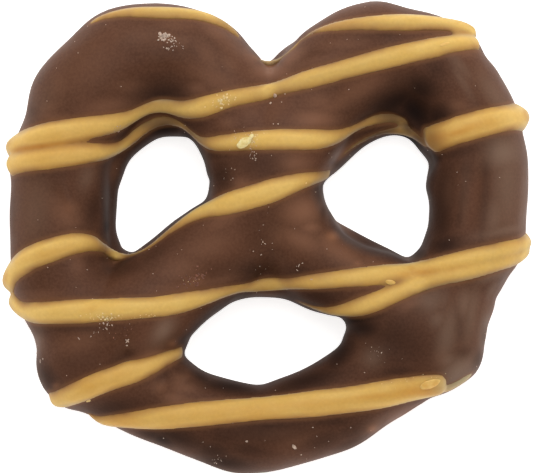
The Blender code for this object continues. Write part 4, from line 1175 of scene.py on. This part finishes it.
def scatter_chips(name, material, grains, tree, balls=1, rough=CHIP_ROUGH):
    """One object of all the grains in a list of (x, y, long, wide, high, turn)."""
    spots, faces = [], []
    for x, y, long, wide, high, turn in grains:
        point, normal = drop_on(tree, x, y)
        if point is None:
            continue
        more, ring = chipped(point, normal, long, wide, high, turn, balls, rough)
        faces += [[i + len(spots) for i in face] for face in ring]
        spots += more
    data = bpy.data.meshes.new(name)
    data.from_pydata(spots, [], faces)
    data.materials.append(material)
    print(name, len(grains), "grains,", len(faces), "triangles")
    return put(name, data)


# %% The skin with its stream on it, as one surface that grains can lie on
def joined_tree(*pieces):
    """A search tree over the faces of several pieces."""
    spots, faces = [], []
    for piece in pieces:
        faces += [[i + len(spots) for i in face.vertices] for face in piece.data.polygons]
        spots += [vertex.co for vertex in piece.data.vertices]
    return BVHTree.FromPolygons(spots, faces)


outer_tree = joined_tree(coat, drizzle)
print("a grain at the crossing lies at", round(drop_on(outer_tree, 0, 6)[0].z / MM, 2), "mm")

# %% Where the larger ones lie, in mm: (x, y, long, wide, high, turn in degrees)
SALT = [(-1.9, 8.1, 1.45, 0.8, 0.34, 35), (-1.3, 8.6, 0.55, 0.35, 0.22, 60)]
SUGAR = [
    (0.75, 12.1, 0.75, 0.3, 0.22, 100), (0.35, 11.5, 0.28, 0.18, 0.12, 30),
    (1.3, 11.6, 0.12, 0.1, 0.06, 0), (1.6, 12.3, 0.14, 0.1, 0.06, 0),
    (0.6, 9.7, 0.12, 0.1, 0.06, 0), (1, 9.7, 0.16, 0.12, 0.06, 0), (7.1, 12.7, 0.12, 0.1, 0.06, 0),
    (2.8, -2.5, 0.36, 0.11, 0.06, 60), (2.65, -2.9, 0.24, 0.09, 0.06, -50),
    (3.1, -2.3, 0.2, 0.09, 0.06, 20), (-12, -9, 0.5, 0.14, 0.1, 50),
    (-12, -9, 0.46, 0.14, 0.1, -40), (-12.05, -9.4, 0.2, 0.14, 0.08, 0),
    (-19.6, -10.8, 0.34, 0.14, 0.08, 90), (-19.35, -10.6, 0.22, 0.12, 0.08, 90),
    (-16.2, -8.8, 0.34, 0.1, 0.06, 130), (-1.7, -17.7, 0.26, 0.2, 0.08, 0),
    (2.4, -18.2, 0.6, 0.3, 0.12, 120), (4, -16.5, 0.16, 0.11, 0.06, 0),
    (3, -18.9, 0.18, 0.14, 0.06, 0), (-12.8, 9.1, 0.24, 0.16, 0.08, 0),
    (3.9, -3.7, 0.2, 0.12, 0.08, 0),
]
FLAKES = [(-15.4, -14.2, 0.4, 0.25, 0.12, 30), (3.4, 4.6, 0.2, 0.14, 0.08, 0)]
DROPS = [(14.1, -12.75, 1.8, 0.75, 0.24, 18), (10.7, -3.95, 0.9, 0.45, 0.16, -14),
         (15.4, 16.6, 1, 0.26, 0.1, 25)]
print(len(SALT), "of salt,", len(SUGAR), "of sugar,", len(FLAKES + DROPS), "flakes and drops")

# %% Loose clusters, in mm: (x, y, half length, half width, turn in degrees, grains, size)
SUGAR_CLUSTERS = [
    (-8.85, 17.25, 0.36, 0.28, 0, 52, 0.17), (-8.2, 17, 0.55, 0.22, -25, 24, 0.11),
    (-8.5, 16.25, 0.4, 0.16, 10, 12, 0.11), (-7.3, 16.3, 0.5, 0.2, -20, 6, 0.08),
    (-1.1, 7.3, 0.35, 0.75, 0, 22, 0.11), (-2.4, 8.6, 0.8, 0.4, 30, 16, 0.09),
    (-13.9, -7.7, 0.7, 0.35, 40, 14, 0.13), (-14.6, -8.2, 0.7, 0.2, 40, 8, 0.08),
    (-4.1, -19.4, 0.45, 0.35, 0, 12, 0.1), (-0.6, -1.2, 0.9, 2.4, 0, 16, 0.09),
    (-3, 5.4, 0.5, 0.6, 0, 6, 0.1), (-12.9, 9.3, 0.4, 0.2, 30, 5, 0.1),
    (9.6, -10, 0.7, 0.5, 0, 14, 0.07),
]
GLINT_CLUSTERS = [
    (-3.8, 11.7, 0.95, 0.5, 15, 46, 0.15), (-13.9, -6.9, 1.3, 0.24, -2, 44, 0.13),
    (-10.5, -6.9, 1.4, 0.15, 4, 12, 0.11), (-1.5, 8.4, 0.75, 0.5, 35, 40, 0.14),
    (-6.2, -3.7, 0.9, 0.45, 25, 9, 0.07), (12.9, -12.3, 3.6, 0.3, 8, 14, 0.08),
]
CRUMB_CLUSTERS = [
    (-6.2, -3.7, 0.95, 0.55, 25, 60, 0.15), (7.9, -2.25, 0.4, 0.1, -20, 6, 0.1),
    (-12.6, -8.3, 1.3, 0.5, 30, 14, 0.11), (6.3, -1.2, 0.3, 0.25, 0, 6, 0.12),
]
print(sum(cluster[5] for cluster in SUGAR_CLUSTERS + GLINT_CLUSTERS + CRUMB_CLUSTERS),
      "grains in clusters")

# %% Grains drawn in the clusters, and all of them laid down
CLUSTER_SEED = 11
CLUSTER_SPREAD = 1.6           # a half length is this many times the usual distance
SIZE_SPREAD = 0.35             # how much the sizes differ, as a power of e
SLIMMEST = 0.45                # a grain's width, as a share of its length
SLIM_SPREAD = 0.35             # and by how much more it may be wider
FLATNESS = 0.4                 # its height, in the same way
TURN_SPREAD = 90.0             # degrees

scatter_draw = np.random.default_rng(CLUSTER_SEED)


def clustered(clusters):
    """Grains drawn at random in loose clusters, most of them near the middle."""
    made = []
    for at_x, at_y, long_half, wide_half, turn, count, size in clusters:
        for u, v, scale, slim, way in scatter_draw.normal(size=(count, 5)):
            x, y = rotated(u * long_half, v * wide_half, turn)
            long = size * math.exp(SIZE_SPREAD * scale)
            wide = long * (SLIMMEST + SLIM_SPREAD * abs(math.tanh(slim)))
            made.append((at_x + x / CLUSTER_SPREAD, at_y + y / CLUSTER_SPREAD, long, wide,
                         long * FLATNESS, TURN_SPREAD * way))
    return made


small_things = [
    scatter_chips("salt_grains", salt, SALT, outer_tree, 3, SALT_ROUGH),
    scatter_chips("sugar_flecks", sugar, SUGAR + clustered(SUGAR_CLUSTERS), outer_tree),
    scatter_chips("coating_flakes", flake, FLAKES, outer_tree, 2),
    scatter_chips("coating_drops", drop, DROPS, outer_tree, 3, DROP_ROUGH),
    scatter_chips("coating_sugar", glint, clustered(GLINT_CLUSTERS), outer_tree),
    scatter_chips("browned_crumbs", crumb, clustered(CRUMB_CLUSTERS), outer_tree),
]

# %% [markdown]
# ## Fine dust
# Sugar dust lies everywhere, too fine and too even to place by hand. A small tree throws
# points on the skin at random, sets a tiny ball of 20 faces on each, stretches and turns
# it by a fixed seed, and makes the copies real. The real dust is about 0.05 mm, which is
# less than a pixel here, so it is drawn at about twice that.

# %% Dust thrown on the skin
DUST_PER_MM2 = 0.08
DUST_SIZE = 0.055              # mm, radius
DUST_SMALLEST = (0.5, 0.4, 0.3)      # of that, in its three directions
DUST_LARGEST = (1.7, 1.2, 0.8)
FULL_TURN = (math.tau, math.tau, math.tau)
DUST_FROM = 0.4                # mm, and none lower, where it would poke into the table
DUST_SEED = 5

throw_dust, given, result = new_tree("throw_dust", {
    "Per square metre": "Float", "Radius": "Float", "Lowest": "Float", "Seed": "Int"})
points = add(throw_dust, "GeometryNodeDistributePointsOnFaces",
             {"Mesh": given["Geometry"], "Density": given["Per square metre"],
              "Seed": given["Seed"]})
ball = add(throw_dust, "GeometryNodeMeshIcoSphere", {"Radius": given["Radius"], "Subdivisions": 1})
size = add(throw_dust, "FunctionNodeRandomValue",
           {"Min": DUST_SMALLEST, "Max": DUST_LARGEST, "Seed": given["Seed"]},
           data_type="FLOAT_VECTOR")
turn = add(throw_dust, "FunctionNodeRandomValue",
           {"Min": (0.0, 0.0, 0.0), "Max": FULL_TURN, "Seed": given["Seed"]},
           data_type="FLOAT_VECTOR")
place = add(throw_dust, "GeometryNodeInputPosition")
height = add(throw_dust, "ShaderNodeSeparateXYZ", {"Vector": place.outputs[0]})
clear = add(throw_dust, "ShaderNodeMath", {0: height.outputs["Z"], 1: given["Lowest"]},
            operation="GREATER_THAN")
dust_grains = add(throw_dust, "GeometryNodeInstanceOnPoints",
                  {"Points": points.outputs["Points"], "Selection": clear.outputs[0],
                   "Instance": ball.outputs["Mesh"], "Rotation": turn.outputs[0],
                   "Scale": size.outputs[0]})
end_tree(throw_dust, given, result, dust_grains.outputs[0])

dust = run_tree("fine_dust", throw_dust, coat.data, {
    "Per square metre": DUST_PER_MM2 / MM ** 2, "Radius": DUST_SIZE * MM,
    "Lowest": DUST_FROM * MM, "Seed": DUST_SEED, "Material": sugar})
print("fine dust:", len(dust.data.polygons), "triangles")
small_things.append(dust)

# %% Attach the pieces to the root, and hide the imported part
for piece in (coat, drizzle):
    piece.data.shade_smooth()
    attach(piece, "root")
    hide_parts("pretzel")
for piece in small_things:
    piece.data.shade_flat()
    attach(piece, "root")
print("handed over:", 2 + len(small_things), "pieces")
